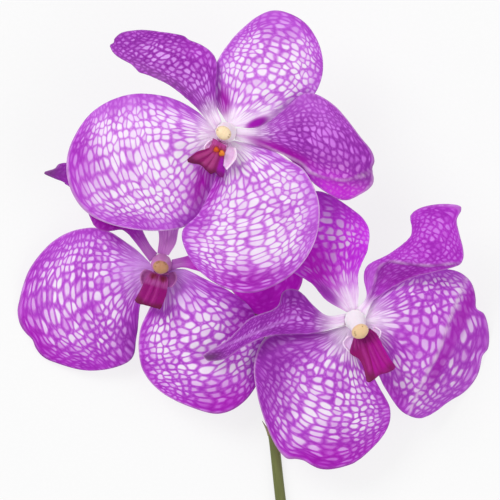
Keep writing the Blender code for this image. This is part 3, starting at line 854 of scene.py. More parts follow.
TOP_BLADES = (
    Blade(
        name="dorsal_sepal", azimuth=62.0, shoulders=(3, 6),
        rim=(
            (10.0, 1.6), (22.0, 5.5), (30.6, 15.0), (31.9, 26.0), (26.3, 36.5), (15.5, 40.6), (5.0, 34.2),
            (-3.2, 23.0), (-4.6, 12.5),
        ),
        lift=0.03, arch=-0.0035, cup=-0.006, wave=(1.2, 0.6),
        paint=Paint(
            net=(13.5, 1.9), line=Shade.ORCHID, openness=0.82, claw_length=7.5, rim=(0.5, 185.0),
            washes=(
                # Painted shade: the dorsal in shadow in the gap behind the left petal's claw.
                Wash((-0.6, 10.5), (5.5, 2.2), 95.0, Shade.DARK_MAGENTA, 0.95, 0.4, crisp=1.6),
                Wash((11.5, 4.2), (8.0, 3.4), 22.0, Shade.CLAW_WHITE, 0.75, 0.0, Shade.CLAW_WHITE),
                # Painted shadow: a lens where the dorsal lies in shade behind the right petal's claw.
                Wash((10.2, 3.1), (4.4, 1.7), 26.0, Shade.DEEP_MAGENTA, 1.0, 1.0, crisp=3.0),
                Wash((17.0, 38.0), (12.0, 6.0), 165.0, Shade.VIOLET, 0.9, 0.15),
            ),
        ),
    ),
    Blade(
        name="left_petal", azimuth=142.0, level=PETAL_LEVEL, shoulders=(8, 12),
        rim=(
            (-3.1, 9.0), (-3.3, 16.0), (-2.9, 21.5), (-3.9, 25.4), (-7.4, 28.6), (-12.6, 30.9),
            (-14.6, 32.2), (-21.0, 33.3), (-28.0, 34.0), (-34.0, 33.3), (-36.8, 31.3), (-37.2, 29.9),
            (-38.5, 28.6), (-36.4, 25.6), (-31.0, 22.3), (-29.2, 20.2), (-25.4, 18.8), (-18.4, 15.4),
            (-10.0, 8.4),
        ),
        lift=0.16, arch=-0.003, cup=-0.012, wave=(1.1, 1.9),
        paint=Paint(
            net=(11.0, 2.1), cell=Shade.LILAC, line=Shade.PURPLE, openness=0.58, edge_cell=Shade.ORCHID,
            edge_line=Shade.PURPLE, claw_length=10.0,
            washes=(
                Wash((-9.0, 26.0), (8.0, 5.0), 150.0, Shade.MAGENTA, 0.5),
                Wash((-20.0, 17.5), (13.0, 1.6), 152.0, Shade.GREY_PURPLE, 0.5),
            ),
        ),
    ),
    Blade(
        name="left_sepal", azimuth=197.0, shoulders=(3, 7),
        rim=(
            (-9.8, 7.2), (-20.0, 12.0), (-33.0, 12.5), (-45.0, 6.4), (-52.4, -6.0), (-52.0, -18.0),
            (-45.0, -27.4), (-31.0, -32.0), (-15.0, -31.6), (-5.2, -24.0), (-3.2, -13.0),
        ),
        lift=-0.08, arch=-0.002, cup=-0.0055, wave=(1.3, 0.0),
        paint=Paint(
            net=(15.0, 1.85), line=Shade.ORCHID, openness=0.86, edge_cell=Shade.PINK_LILAC,
            claw_length=10.5, rim=(0.6, 265.0),
            washes=(
                # Painted shade beneath the lip and beside the right sepal's margin.
                Wash((-7.6, -16.0), (11.0, 3.6), 76.0, Shade.DARK_MAGENTA, 1.0, 0.6),
                Wash((-28.0, -30.0), (22.0, 4.0), 178.0, Shade.VIOLET, 0.5),
                Wash((-50.0, -8.0), (16.0, 7.0), 95.0, Shade.MAGENTA, 0.85, 0.15),
                Wash((-32.0, 9.5), (15.0, 4.0), 5.0, Shade.ORCHID, 0.6, 0.0, Shade.LILAC),
            ),
        ),
    ),
    Blade(
        name="right_sepal", azimuth=286.0, shoulders=(3, 7),
        rim=(
            (-3.2, -14.0), (-8.5, -26.0), (-14.6, -33.5), (-10.3, -44.2), (-0.8, -51.4), (10.0, -53.0),
            (22.0, -47.0), (29.5, -36.2), (30.9, -23.5), (26.4, -13.1), (20.5, -9.0), (13.5, -5.0),
        ),
        lift=0.06, roll=-0.05, arch=-0.0024, cup=-0.004, wave=(1.2, 1.0),
        paint=Paint(
            net=(13.5, 1.8), line=Shade.ORCHID, openness=0.88, claw_length=12.0, rim=(0.8, 35.0),
            washes=(
                Wash((-4.0, -18.0), (10.0, 2.6), 64.0, Shade.DEEP_MAGENTA, 0.85, 0.2),
                Wash((-9.0, -33.0), (7.0, 3.0), 70.0, Shade.MAGENTA, 0.5),
                Wash((7.0, -50.0), (16.0, 6.0), 10.0, Shade.DEEP_MAGENTA, 0.85),
                Wash((29.0, -28.0), (15.0, 4.0), 85.0, Shade.ORCHID, 0.7),
            ),
        ),
    ),
    Blade(
        name="right_petal", azimuth=352.0, level=PETAL_LEVEL, shoulders=(5, 13),
        rim=(
            (9.5, -4.2), (17.0, -6.3), (20.8, -8.3), (25.6, -13.0), (31.0, -18.0), (38.8, -22.2),
            (44.8, -20.2), (48.6, -17.2), (49.0, -13.8), (48.2, -12.4), (49.3, -10.0), (48.5, -6.4),
            (44.8, -1.6), (36.0, 9.0), (27.0, 13.2), (20.0, 8.2), (14.0, 3.4), (8.6, 1.2),
        ),
        lift=0.06, arch=-0.0014, cup=-0.004, wave=(0.8, 0.4),
        folds=(
            # The crease, with a painted highlight along its crest.
            Fold(
                ((15.0, -5.4), (24.7, -9.8), (29.0, -13.4), (38.0, -15.6), (44.7, -14.2), (49.4, -11.6)),
                1.6, 0.8, ledge=1.2, crest=0.75,
            ),
        ),
        paint=Paint(
            net=(18.0, 2.1), cell=Shade.PINK_LILAC, line=Shade.PURPLE, openness=0.58,
            edge_cell=Shade.ORCHID, edge_line=Shade.PURPLE, claw_length=13.0, rim=(0.35, 330.0),
            washes=(
                # Painted shade above the crease.
                Wash((36.0, -10.5), (15.0, 3.2), 165.0, Shade.PURPLE, 0.8, 0.1, Shade.MAUVE),
                # Painted glow on the folded-back half below the crease, which lies in shade.
                Wash(
                    (36.0, -19.0), (15.0, 4.4), 168.0, Shade.GLOWING_VIOLET, 1.0, 0.2, Shade.GLOWING_MAUVE,
                ),
                # Painted shadow between the petal's lower margin and the right sepal.
                Wash((18.0, -6.2), (12.0, 2.1), 157.0, Shade.DARK_MAGENTA, 1.0, 1.0, crisp=2.0),
                Wash((28.0, 9.0), (12.0, 4.0), 150.0, Shade.ORCHID, 0.5),
                Wash((20.5, 5.0), (11.0, 3.6), 36.0, Shade.ORCHID, 0.35, 0.0, Shade.PALE_LILAC),
            ),
        ),
    ),
)

TOP_LIP = Lip(
    midlobe=Blade(
        name="midlobe", azimuth=237.0, level=LIP_LEVEL, shoulders=(3, 9),
        rim=(
            (-4.9, -4.5), (-6.4, -5.7), (-9.6, -6.6), (-12.7, -9.2), (-11.7, -10.1), (-8.5, -10.8),
            (-6.7, -12.4), (-5.0, -13.8), (-3.4, -13.3), (-1.4, -14.9), (-0.7, -11.0), (-0.6, -7.4),
        ),
        lift=0.3, claw_half_width=2.3, claw_reach=3.9,
        folds=(Fold(((-4.0, -14.6), (-1.8, -7.2)), 1.3, 0.4, begins=1.5, fades=3.0),),
    ),
    keels=((0.32, 0.08), (0.5, 0.4), (0.62, 0.62)),
    ears=(
        Ear(
            ((-3.1, -2.4, 1.6), (-4.0, -4.4, 2.1), (-4.9, -6.0, 2.4)),
            ((-5.2, -2.6, 2.6), (-6.9, -4.3, 3.2), (-7.3, -6.1, 3.0)), 0.5, "#ECB6EA", "#F2D6F4",
        ),
        Ear(
            ((0.6, -4.4, 1.6), (-0.4, -7.2, 2.1), (-0.8, -11.0, 2.2)),
            ((3.3, -5.2, 3.0), (3.3, -8.5, 4.0), (0.2, -12.4, 3.2)), -0.7, "#DDB4DE", "#F6E2F6",
        ),
    ),
    groove="#840F60", keel="#A83A80", tip="#5E0E40", throat="#B44498", flank="#A00EA8", throat_length=0.26,
    calli=((-3.2, -5.8, "#C85420"), (-1.35, -6.95, "#E08430")),
    spots=((-3.2, -5.8, 1.5, "#8C2038"), (-1.35, -6.95, 1.5, "#9C3038")),
)

TOP_BLOOM = Bloom(
    name="top_bloom", column_lean=(-0.75, -0.2),
    stalk=((-3.2, 14.4, 3.6), (-4.4, 21.0, 13.0), (-8.0, 39.0, 22.0)), column_tint="#EDE0E8", cap_size=2.4,
    cap_tint="#ECD5B0", cap_rim="#D8B688",
    cap_marks=((1.65, -1.4, 0.34), (2.0, -0.6, 0.28), (-1.95, 0.9, 0.28)), blades=TOP_BLADES, lip=TOP_LIP,
)

LEFT_BLADES = (
    Blade(
        name="dorsal_sepal", azimuth=80.0, shoulders=(4, 6),
        rim=(
            (4.9, 7.0), (6.0, 12.0), (10.5, 20.0), (12.6, 30.0), (10.0, 40.0), (2.5, 45.5), (-4.5, 41.0),
            (-6.9, 31.0), (-4.2, 20.0), (-0.9, 10.5),
        ),
        lift=0.1, arch=-0.001, cup=-0.012, wave=(0.8, 0.0),
        paint=Paint(
            # The glowing claw is painted glow, for the neck that lies in shade under the top bloom.
            net=(7.0, 2.3), cell=Shade.PALE_LILAC, line=Shade.MAGENTA, claw=Shade.GLOWING_MAUVE,
            claw_length=22.0,
        ),
    ),
    Blade(
        name="left_petal", azimuth=140.0, level=PETAL_LEVEL, shoulders=(5, 10),
        rim=(
            (-3.8, 6.6), (-6.4, 11.6), (-10.5, 21.0), (-18.5, 29.0), (-26.0, 32.4), (-31.2, 33.8),
            (-34.2, 33.4), (-35.6, 31.9), (-39.2, 30.5), (-35.6, 28.6), (-32.0, 27.0), (-26.5, 21.5),
            (-23.8, 15.6), (-22.2, 12.6), (-19.0, 11.0), (-15.6, 11.2), (-12.6, 11.3), (-9.3, 8.0),
        ),
        lift=0.14, arch=-0.001, cup=-0.012, wave=(0.9, 0.9),
        paint=Paint(
            net=(6.0, 2.2), cell=Shade.LILAC, line=Shade.DEEP_MAGENTA, openness=0.3,
            edge_cell=Shade.MAGENTA, edge_line=Shade.MAGENTA, claw=Shade.MAUVE, claw_length=12.0,
            washes=(
                Wash((-17.0, 13.0), (9.0, 5.0), 160.0, Shade.DARK_MAGENTA, 0.9, 0.7),
                Wash((-35.0, 30.0), (9.0, 5.0), 30.0, Shade.PURPLE, 0.9, 0.8),
                Wash((-38.0, 30.5), (4.0, 2.5), 30.0, Shade.DUSK, 0.8, 0.8),
            ),
        ),
    ),
    Blade(
        name="left_sepal", azimuth=203.0, shoulders=(2, 10),
        rim=(
            (-10.0, 6.0), (-21.0, 12.0), (-34.0, 9.2), (-44.0, -1.2), (-48.2, -14.0), (-47.9, -19.2),
            (-46.2, -22.6), (-43.6, -25.2), (-41.9, -28.8), (-37.6, -32.4), (-24.0, -35.8), (-11.0, -32.6),
            (-8.3, -24.0), (-6.8, -12.5),
        ),
        lift=-0.105, arch=-0.0042, cup=-0.0035, wave=(1.2, 0.5),
        paint=Paint(
            net=(15.5, 1.9), openness=0.62, edge_cell=Shade.PINK_LILAC, edge_line=Shade.MAGENTA,
            claw=Shade.LILAC, claw_length=16.0, rim=(0.3, 100.0),
            washes=(
                Wash((-41.0, -26.0), (18.0, 5.0), 130.0, Shade.DEEP_MAGENTA, 0.75),
                Wash((-11.0, -25.0), (14.0, 5.0), 80.0, Shade.PURPLE, 0.85, 0.1),
                Wash((-25.0, -33.0), (16.0, 5.0), 178.0, Shade.MAGENTA, 0.7, 0.1),
                Wash((-34.0, 5.0), (14.0, 5.0), 30.0, Shade.VIOLET, 0.5),
                Wash((-26.0, -16.0), (12.0, 2.4), 35.0, Shade.MAGENTA, 0.5),
            ),
        ),
    ),
    Blade(
        name="right_sepal", azimuth=300.0, shoulders=(3, 7),
        rim=(
            (-3.2, -13.0), (-7.3, -23.0), (-6.6, -34.5), (-0.4, -42.6), (10.0, -48.0), (20.0, -50.1),
            (28.4, -45.4), (33.8, -36.0), (34.6, -26.0), (30.5, -15.6), (24.0, -9.8), (15.0, -5.2),
            (8.0, -1.8),
        ),
        lift=0.06, arch=-0.003, cup=-0.005, wave=(1.2, 0.0),
        paint=Paint(
            net=(13.5, 2.2), openness=0.72, edge_cell=Shade.PINK_LILAC, edge_line=Shade.MAGENTA,
            claw=Shade.LILAC, claw_length=14.0, rim=(0.5, 180.0),
            washes=(
                Wash((22.0, -46.0), (12.0, 6.0), 15.0, Shade.DEEP_MAGENTA, 0.9, 0.3),
                Wash((28.0, -20.0), (12.0, 5.0), 60.0, Shade.DEEP_MAGENTA, 0.75),
                Wash((8.0, -8.0), (10.0, 3.0), 150.0, Shade.VIOLET, 0.5),
            ),
        ),
    ),
    Blade(
        name="right_petal", azimuth=353.0, level=PETAL_LEVEL, shoulders=(3, 7),
        rim=(
            (8.0, -1.2), (16.5, -4.0), (22.5, -7.6), (30.0, -16.0), (38.0, -16.6), (45.0, -10.2),
            (47.2, -3.5), (42.0, 3.5), (33.0, 9.0), (22.0, 8.6), (10.5, 3.4),
        ),
        arch=-0.006, cup=0.003, wave=(0.8, 0.3),
        paint=Paint(
            # Glowing shades: painted glow, for a petal that lies in shade under the top bloom.
            net=(9.0, 2.4), cell=Shade.GLOWING_ORCHID, line=Shade.GLOWING_MAGENTA, openness=0.1,
            edge_cell=Shade.GLOWING_MAGENTA, edge_line=Shade.GLOWING_MAGENTA, claw=Shade.MAUVE,
            claw_length=9.0,
        ),
    ),
)

LEFT_LIP = Lip(
    midlobe=Blade(
        name="midlobe", azimuth=256.0, level=LIP_LEVEL, shoulders=(3, 6),
        rim=(
            (-4.9, -4.6), (-5.9, -6.7), (-7.2, -9.6), (-8.5, -12.2), (-7.6, -13.1), (-4.6, -13.9),
            (-0.6, -14.9), (0.4, -13.4), (1.5, -10.6), (2.0, -8.4), (2.4, -6.0),
        ),
        lift=0.28, claw_half_width=3.0, claw_reach=3.6,
    ),
    keels=((0.4, 0.36), (0.62, 0.66)),
    ears=(
        Ear(
            ((-2.6, -2.6, 1.6), (-3.6, -4.4, 2.1), (-4.6, -6.6, 2.4)),
            ((-5.6, -1.6, 2.4), (-6.9, -3.8, 3.0), (-6.6, -6.8, 2.8)), 0.7, "#A04C94", "#B46EAE",
        ),
        Ear(
            ((2.6, -3.0, 1.6), (2.2, -5.0, 2.1), (1.7, -7.4, 2.4)),
            ((4.6, -2.6, 2.4), (5.2, -5.0, 3.0), (3.7, -7.8, 2.8)), -0.7, "#A04C98", "#B46EB0",
        ),
    ),
    groove="#86006A", keel="#98147A", tip="#601038", throat="#A44C94", flank="#84006A", throat_length=0.32,
    spots=((-2.6, -4.1, 1.3, "#6A0020"), (0.6, -5.1, 1.3, "#6A0020")),
)

LEFT_BLOOM = Bloom(
    name="left_bloom", column_lean=(-0.1, -1.0),
    stalk=((1.0, -22.6, 3.4), (-10.0, -18.0, 7.5), (-29.7, -4.7, 6.0)), column_tint="#C67FBB",
    cap_size=2.45, cap_tint="#B68560", cap_rim="#C08094",
    cap_marks=((-0.7, 1.75, 0.4), (-1.3, 1.35, 0.34), (1.2, 1.55, 0.4), (1.7, 0.9, 0.34), (-1.8, 0.2, 0.3)),
    blades=LEFT_BLADES, lip=LEFT_LIP,
)

RIGHT_BLADES = (
    Blade(
        name="dorsal_sepal", azimuth=106.0, shoulders=(3, 7),
        rim=(
            (1.2, 9.0), (1.2, 16.0), (4.3, 24.0), (4.2, 31.5), (-1.5, 37.4), (-12.0, 43.0), (-22.0, 40.0),
            (-26.0, 30.0), (-22.5, 18.0), (-14.5, 12.2), (-9.6, 6.6),
        ),
        lift=0.14, arch=-0.002, cup=-0.01, wave=(1.2, 0.0),
        paint=Paint(
            net=(14.0, 2.5), cell=Shade.PALE_LILAC, line=Shade.BRIGHT_VIOLET, openness=0.62,
            edge_cell=Shade.PINK_LILAC, edge_line=Shade.BRIGHT_VIOLET, claw_length=16.0,
            washes=(
                Wash((-15.0, 20.0), (13.0, 5.5), 120.0, Shade.DEEP_MAGENTA, 1.0, 0.5),
                # Painted glow where the dorsal lies in shade under the top bloom.
                Wash((-15.0, 21.0), (13.0, 5.5), 120.0, Shade.GLOWING_MAGENTA, 0.45, 0.2),
                Wash((-9.0, 39.0), (11.0, 6.0), 150.0, Shade.MAGENTA, 0.85, 0.2),
                Wash((-9.0, 8.6), (5.4, 1.8), 134.0, Shade.PURPLE, 0.95, 0.9, crisp=1.6),
            ),
        ),
    ),
    Blade(
        name="right_petal", azimuth=52.0, level=PETAL_LEVEL, shoulders=(7, 14),
        rim=(
            (5.8, 6.2), (9.8, 9.2), (14.5, 12.0), (20.0, 14.5), (27.0, 16.2), (33.6, 18.0), (35.8, 19.8),
            (36.1, 23.3), (34.7, 29.0), (33.9, 33.4), (35.4, 36.9), (34.0, 38.4), (28.0, 38.7),
            (22.0, 37.5), (18.4, 34.8), (18.9, 31.0), (18.1, 27.4), (11.5, 22.2), (4.4, 18.4), (2.9, 14.2),
            (3.8, 7.8),
        ),
        lift=0.12, arch=-0.0005, cup=-0.004, wave=(0.9, 0.0),
        folds=(
            # The crease, with a painted highlight along its crest.
            Fold(
                (
                    (4.7, 8.0), (6.4, 13.0), (7.6, 17.2), (11.0, 19.6), (16.0, 19.2), (24.0, 18.4),
                    (34.0, 19.2),
                ),
                0.4, 0.8, begins=2.0, fades=6.0, ledge=1.4, crest=0.5,
            ),
        ),
        paint=Paint(
            net=(13.0, 1.9), cell=Shade.PINK_LILAC, line=Shade.MAGENTA, openness=0.54,
            edge_cell=Shade.ORCHID, edge_line=Shade.MAGENTA, claw_length=7.0, rim=(0.2, 330.0),
            washes=(
                # Painted shade on the inner half beyond the crease.
                Wash((14.0, 15.0), (10.0, 3.2), 8.0, Shade.DARK_MAGENTA, 0.8, 0.4),
                Wash((14.0, 15.5), (10.0, 3.2), 10.0, Shade.PURPLE, 0.7, 0.6),
                Wash((5.5, 13.5), (6.0, 1.8), 80.0, Shade.ORCHID, 0.7, 0.5),
            ),
        ),
    ),
    Blade(
        name="left_petal", azimuth=176.0, level=PETAL_LEVEL, shoulders=(10, 12),
        rim=(
            (-9.0, 1.4), (-13.2, 4.2), (-18.3, 9.4), (-22.2, 10.3), (-24.5, 8.6), (-25.2, 5.6),
            (-27.4, 3.5), (-31.0, 2.2), (-35.2, 0.5), (-38.6, -2.8), (-42.5, -6.6), (-49.8, -11.0),
            (-50.6, -12.4), (-49.4, -13.6), (-43.6, -13.0), (-37.0, -8.8), (-28.0, -5.2), (-14.0, -4.4),
        ),
        lift=0.03, arch=-0.0012, cup=-0.01, wave=(0.5, 0.0),
        paint=Paint(
            net=(9.0, 2.0), cell=Shade.LILAC, line=Shade.PURPLE, openness=0.5, edge_cell=Shade.VIOLET,
            edge_line=Shade.PURPLE, rim=(0.3, 150.0),
            washes=(
                Wash((-26.0, 5.0), (9.0, 6.0), 170.0, Shade.MAGENTA, 0.6, 0.15),
                Wash((-48.4, -12.4), (4.4, 1.6), 14.0, Shade.DUSK, 1.0, 1.0),
                Wash((-34.0, -4.6), (12.0, 0.5), 23.0, Shade.LILAC, 0.5, 0.8),
            ),
        ),
    ),
    Blade(
        name="left_sepal", azimuth=241.0, shoulders=(4, 14),
        rim=(
            (-11.5, -4.0), (-21.0, -4.4), (-29.6, -5.8), (-33.4, -13.5), (-33.0, -23.0), (-30.2, -33.5),
            (-26.5, -42.0), (-23.3, -46.0), (-20.8, -46.8), (-18.4, -46.4), (-15.4, -48.2), (-11.0, -50.0),
            (-5.5, -49.6), (1.5, -46.8), (10.0, -38.0), (11.8, -30.0), (7.6, -21.5), (3.0, -12.5),
        ),
        lift=-0.08, arch=-0.002, cup=-0.005, wave=(1.2, 0.0),
        paint=Paint(
            net=(16.0, 1.95), openness=0.68, edge_cell=Shade.PINK_LILAC, edge_line=Shade.MAGENTA,
            claw_length=13.0, rim=(0.7, 150.0),
            washes=(
                # Painted shade over the left part and beside the lip.
                Wash((-29.0, -19.0), (22.0, 9.0), 75.0, Shade.PURPLE, 1.0, 0.3, Shade.ORCHID),
                Wash((-15.0, -8.0), (12.0, 4.0), 22.0, Shade.PURPLE, 0.75, 0.3),
                Wash((-10.0, -46.0), (18.0, 6.0), 8.0, Shade.DEEP_MAGENTA, 0.9, 0.2),
            ),
        ),
    ),
    Blade(
        name="right_sepal", azimuth=346.0, shoulders=(4, 19),
        rim=(
            (5.4, -9.0), (8.2, -19.0), (13.6, -28.2), (17.6, -31.8), (22.4, -33.0), (27.4, -30.6),
            (31.6, -27.5), (36.0, -25.0), (39.4, -21.8), (41.8, -17.6), (43.0, -12.2), (44.9, -9.6),
            (45.2, -4.8), (44.1, 0.6), (42.6, 2.8), (40.8, 3.8), (40.5, 7.0), (39.4, 11.6), (36.5, 15.0),
            (30.8, 16.9), (20.0, 15.6), (14.2, 13.4), (9.4, 9.8), (5.8, 6.0),
        ),
        lift=-0.087, arch=-0.004, cup=-0.0015, wave=(0.8, 0.0),
        folds=(
            # The crease, with a painted highlight along its crest.
            Fold(
                ((19.0, -29.0), (22.5, -20.8), (28.0, -10.4), (31.2, -1.0), (34.0, 6.0), (36.5, 12.0)), 0.7,
                1.0, ledge=1.1, crest=0.95,
            ),
        ),
        paint=Paint(
            net=(17.0, 2.3), openness=0.62, edge_cell=Shade.PINK_LILAC, claw_length=13.0,
            washes=(
                # Painted shadow in a band beside the crease, on its low side.
                Wash((35.4, 0.5), (14.0, 2.7), 64.0, Shade.DEEP_MAGENTA, 1.0, 0.85, crisp=1.5),
                Wash((28.6, -14.0), (10.0, 2.2), 64.0, Shade.DEEP_MAGENTA, 0.95, 0.75, crisp=1.3),
                Wash((41.0, -8.0), (13.0, 4.5), 84.0, Shade.MAGENTA, 0.6, 0.0, Shade.LILAC),
                Wash((22.0, -5.0), (16.0, 10.0), 20.0, Shade.MAGENTA, 0.7),
                Wash((12.0, -25.0), (9.0, 5.0), 125.0, Shade.DEEP_MAGENTA, 0.6),
            ),
        ),
    ),
)

RIGHT_LIP = Lip(
    midlobe=Blade(
        name="midlobe", azimuth=298.0, level=LIP_LEVEL, shoulders=(5, 9),
        rim=(
            (-1.3, -8.4), (-1.7, -10.8), (-0.3, -12.1), (1.4, -13.0), (2.9, -15.8), (4.1, -20.4),
            (5.8, -20.1), (8.3, -18.2), (11.0, -17.4), (13.3, -15.8), (11.5, -13.0), (9.7, -9.8),
            (8.2, -6.4), (7.0, -4.4),
        ),
        lift=0.25, claw_half_width=3.2, claw_reach=5.2, folds=(Fold(((6.8, -19.6), (3.6, -5.6)), 0.0),),
    ),
    keels=((0.4, 0.16), (0.6, 0.52), (0.78, 0.86)),
    ears=(
        Ear(
            ((-0.4, -5.6, 1.6), (-0.9, -7.6, 2.2), (-0.9, -9.8, 2.2)),
            ((-2.2, -5.2, 2.8), (-4.0, -7.7, 3.6), (-1.9, -10.8, 3.0)), 0.9, "#E4C4EC", "#F2DAF6",
        ),
        Ear(
            ((5.2, -3.0, 1.6), (6.2, -4.6, 2.2), (6.8, -6.4, 2.4)),
            ((6.6, -2.2, 2.6), (8.5, -3.8, 3.4), (8.0, -6.2, 2.8)), -0.7, "#E4C4EC", "#F0DAF4",
        ),
    ),
    groove="#84005E", keel="#A02484", tip="#6A1446", throat="#78005C", flank="#A0008A", throat_length=0.26,
)

RIGHT_BLOOM = Bloom(
    name="right_bloom", column_lean=(1.6, -3.7),
    stalk=((5.8, -28.6, 3.4), (15.0, -28.0, 8.0), (35.0, -23.3, 11.0)), column_tint="#EAE3E8",
    cap_size=2.65, cap_tint="#DDBC90", cap_rim="#E8CDB0",
    cap_marks=((-1.75, -0.2, 0.26), (-1.75, -0.7, 0.28), (-1.5, -1.25, 0.32), (0.8, 1.6, 0.26)),
    blades=RIGHT_BLADES, lip=RIGHT_LIP,
)


# Sepals and petals


@dataclass
class Sheet:
    """One blade as a fine sheet: its grid, its height, its relief and its colours."""

    blade: Blade
    centre: np.ndarray
    seed: tuple[int, ...] = (SEED,)
    rows: int = 108
    columns: int = 108
    coarse: tuple[int, int] = (25, 23)
    rim_samples: int = 840
    thickness: float = 0.56
    claw_ease: float = 14.0
    claw_stretch: float = 3.2
    claw_branching: float = 0.9
    middle_widening: float = 0.45
    edge_band: float = 3.2
    rim_band: float = 0.32
    crest_highlight_band: float = 0.42
    midrib_depth: float = 0.22
    pleat_height: float = 0.045
    puckers: int = 7
    pucker_height: float = 0.035
    pucker_spans: tuple[float, float] = (6.0, 11.0)
    curls: tuple[tuple[int, float], ...] = ((17, 0.12), (29, 0.08))
    curl_band: float = 1.8
    net_spread: float = 90.0

    def foot(self) -> np.ndarray:
        """Return the middle of the claw's foot in plan."""
        return direction(self.blade.azimuth) * self.blade.claw_reach

    def reach(self, plan: np.ndarray) -> np.ndarray:
        """Return each plan point's distance from the claw's foot."""
        return np.linalg.norm(plan - self.foot(), axis=-1)

    def outward(self, plan: np.ndarray) -> np.ndarray:
        """Return each plan point's offset from the blade's middle."""
        return plan - plan.reshape(-1, 2).mean(axis=0)

    def plan(self) -> np.ndarray:
        """Spread a grid evenly inside the blade's outline.

        Returns:
            The plan points, rows along the blade by columns across it.
        """
        blade = self.blade
        side = right_of(direction(blade.azimuth)) * blade.claw_half_width
        right_claw, left_claw = self.foot() + side, self.foot() - side
        outline = [tuple(right_claw), *blade.rim, tuple(left_claw)]
        whole = smooth_path(outline, self.rim_samples)
        knots = [outline[place + 1] for place in blade.shoulders]
        first, last = (np.argmin(np.linalg.norm(whole - np.array(knot), axis=1)) for knot in knots)
        rows, columns = self.coarse
        u, v = (line[..., None] for line in unit_lines(rows, columns))
        right = smooth_path(whole[:first + 1], rows)[:, None]
        left = smooth_path(whole[last:], rows)[::-1][:, None]
        far = smooth_path(whole[first:last + 1], columns)[None]
        near = right_claw * (1.0 - u) + left_claw * u
        corners = near * (1.0 - v) + (far[:, :1] * (1.0 - u) + far[:, -1:] * u) * v
        coarse = relax_grid(near * (1.0 - v) + far * v + right * (1.0 - u) + left * u - corners)
        return refine(coarse, self.rows, self.columns)

    def height(self, plan: np.ndarray) -> np.ndarray:
        """Raise the blade: its lift, arch and cup, the waves of its margin and its creases.

        Args:
            plan: The sheet's plan points.

        Returns:
            The height over each.
        """
        blade = self.blade
        reach = self.reach(plan)
        sideways = (plan - self.foot()) @ right_of(direction(blade.azimuth))
        ease = smooth_step(reach / self.claw_ease)
        height = blade.level + blade.lift * reach + blade.arch * reach ** 2
        height = height + ease * (blade.roll * sideways + blade.cup * sideways ** 2)
        outward = self.outward(plan)
        around = np.arctan2(outward[..., 1], outward[..., 0])
        nearness = np.linalg.norm(outward, axis=-1)
        size, phase = blade.wave
        height = height + ease * size * (nearness / nearness.max()) ** 2 * np.sin(3.0 * around + phase)
        return height - sum(fold.drop(plan, reach) for fold in blade.folds)

    def margin(self, plan: np.ndarray) -> np.ndarray:
        """Return each point's distance to the blade's free edge."""
        edge = np.concatenate((plan[:, 0], plan[-1], plan[:, -1]))
        return np.array([np.linalg.norm(row[:, None] - edge[None], axis=-1).min(axis=1) for row in plan])

    def relief(self, plan: np.ndarray, margin: np.ndarray, draw: np.random.Generator) -> np.ndarray:
        """Shape the fine relief: midrib, pleats between the veins, puckers and a waved edge.

        Args:
            plan: The sheet's plan points.
            margin: Their distance to the free edge.
            draw: The piece's own random draw.

        Returns:
            The height that the relief adds.
        """
        u, v = unit_lines(self.rows, self.columns)
        inner = smooth_step(v / 0.25) * smooth_step(margin / 4.0)
        midrib = -self.midrib_depth * np.exp(-((u - 0.5) / 0.035) ** 2) * smooth_step(v / 0.1) * (1.0 - v)
        veins = 2.0 * math.pi * self.blade.paint.net[0] * u
        pleats = self.pleat_height * np.cos(veins + 1.3 * np.sin(5.0 * v)) * inner
        puckers = np.zeros(plan.shape[:2])
        for _ in range(self.puckers):
            heading = direction(draw.uniform(0.0, 360.0))
            heading *= 2.0 * math.pi / draw.uniform(*self.pucker_spans)
            puckers += self.pucker_height * np.sin(plan @ heading + draw.uniform(0.0, 6.3))
        run = np.arctan2(*self.outward(plan).transpose(2, 0, 1))
        curls = sum(size * np.sin(count * run + draw.uniform(0.0, 6.3)) for count, size in self.curls)
        curls = curls * np.exp(-margin / self.curl_band) * smooth_step(v / 0.3)
        return midrib + pleats + puckers * inner + curls

    def vein_map(self, plan: np.ndarray, margin: np.ndarray, draw: np.random.Generator) -> np.ndarray:
        """Find each point's place in the net, one unit being one cell.

        Args:
            plan: The sheet's plan points.
            margin: Their distance to the free edge.
            draw: The piece's own random draw.

        Returns:
            The cells counted across the veins and along them.
        """
        across, cell_length = self.blade.paint.net
        width = np.linalg.norm(np.diff(plan, axis=1), axis=-1).sum(axis=1)
        u = np.linspace(-0.5, 0.5, self.columns)[None, :]
        u = u - self.middle_widening * np.sin(2.0 * math.pi * u) / (2.0 * math.pi)
        core = slice(self.columns // 5, -self.columns // 5)
        reach = self.reach(plan)[:, core].mean(axis=1)
        to_margin = margin[:, core].mean(axis=1)
        branching = (width / width.max()) ** 0.2 * (1.0 + self.claw_branching * np.exp(-(reach / 15.0) ** 2))
        stretch = 1.0 + self.claw_stretch * np.exp(-(reach / 13.0) ** 2)
        length = cell_length * stretch * (0.6 + 0.4 * smooth_step(to_margin / 8.0))
        steps = np.linalg.norm(np.diff(plan, axis=0), axis=-1)[:, core].mean(axis=1)
        along = np.concatenate(([0.0], np.cumsum(steps / (0.5 * (length[1:] + length[:-1])))))[:, None]
        shift = draw.uniform(0.0, self.net_spread, 2)
        sideways = across * u * branching[:, None] + shift[0]
        return np.stack(np.broadcast_arrays(sideways, along + shift[1]), axis=-1)

    def rim_line_and_crest_highlight(self, plan: np.ndarray, margin: np.ndarray) -> np.ndarray:
        """Find where the margin's pale line and the painted highlight along a sharp crease run.

        Args:
            plan: The sheet's plan points.
            margin: Their distance to the free edge.

        Returns:
            The line's strength at each point.
        """
        strength, side = self.blade.paint.rim
        facing = unit(self.outward(plan)) @ direction(side)
        mark = (0.12 + strength * smooth_step(facing + 0.5)) * np.exp(-(margin / self.rim_band) ** 2)
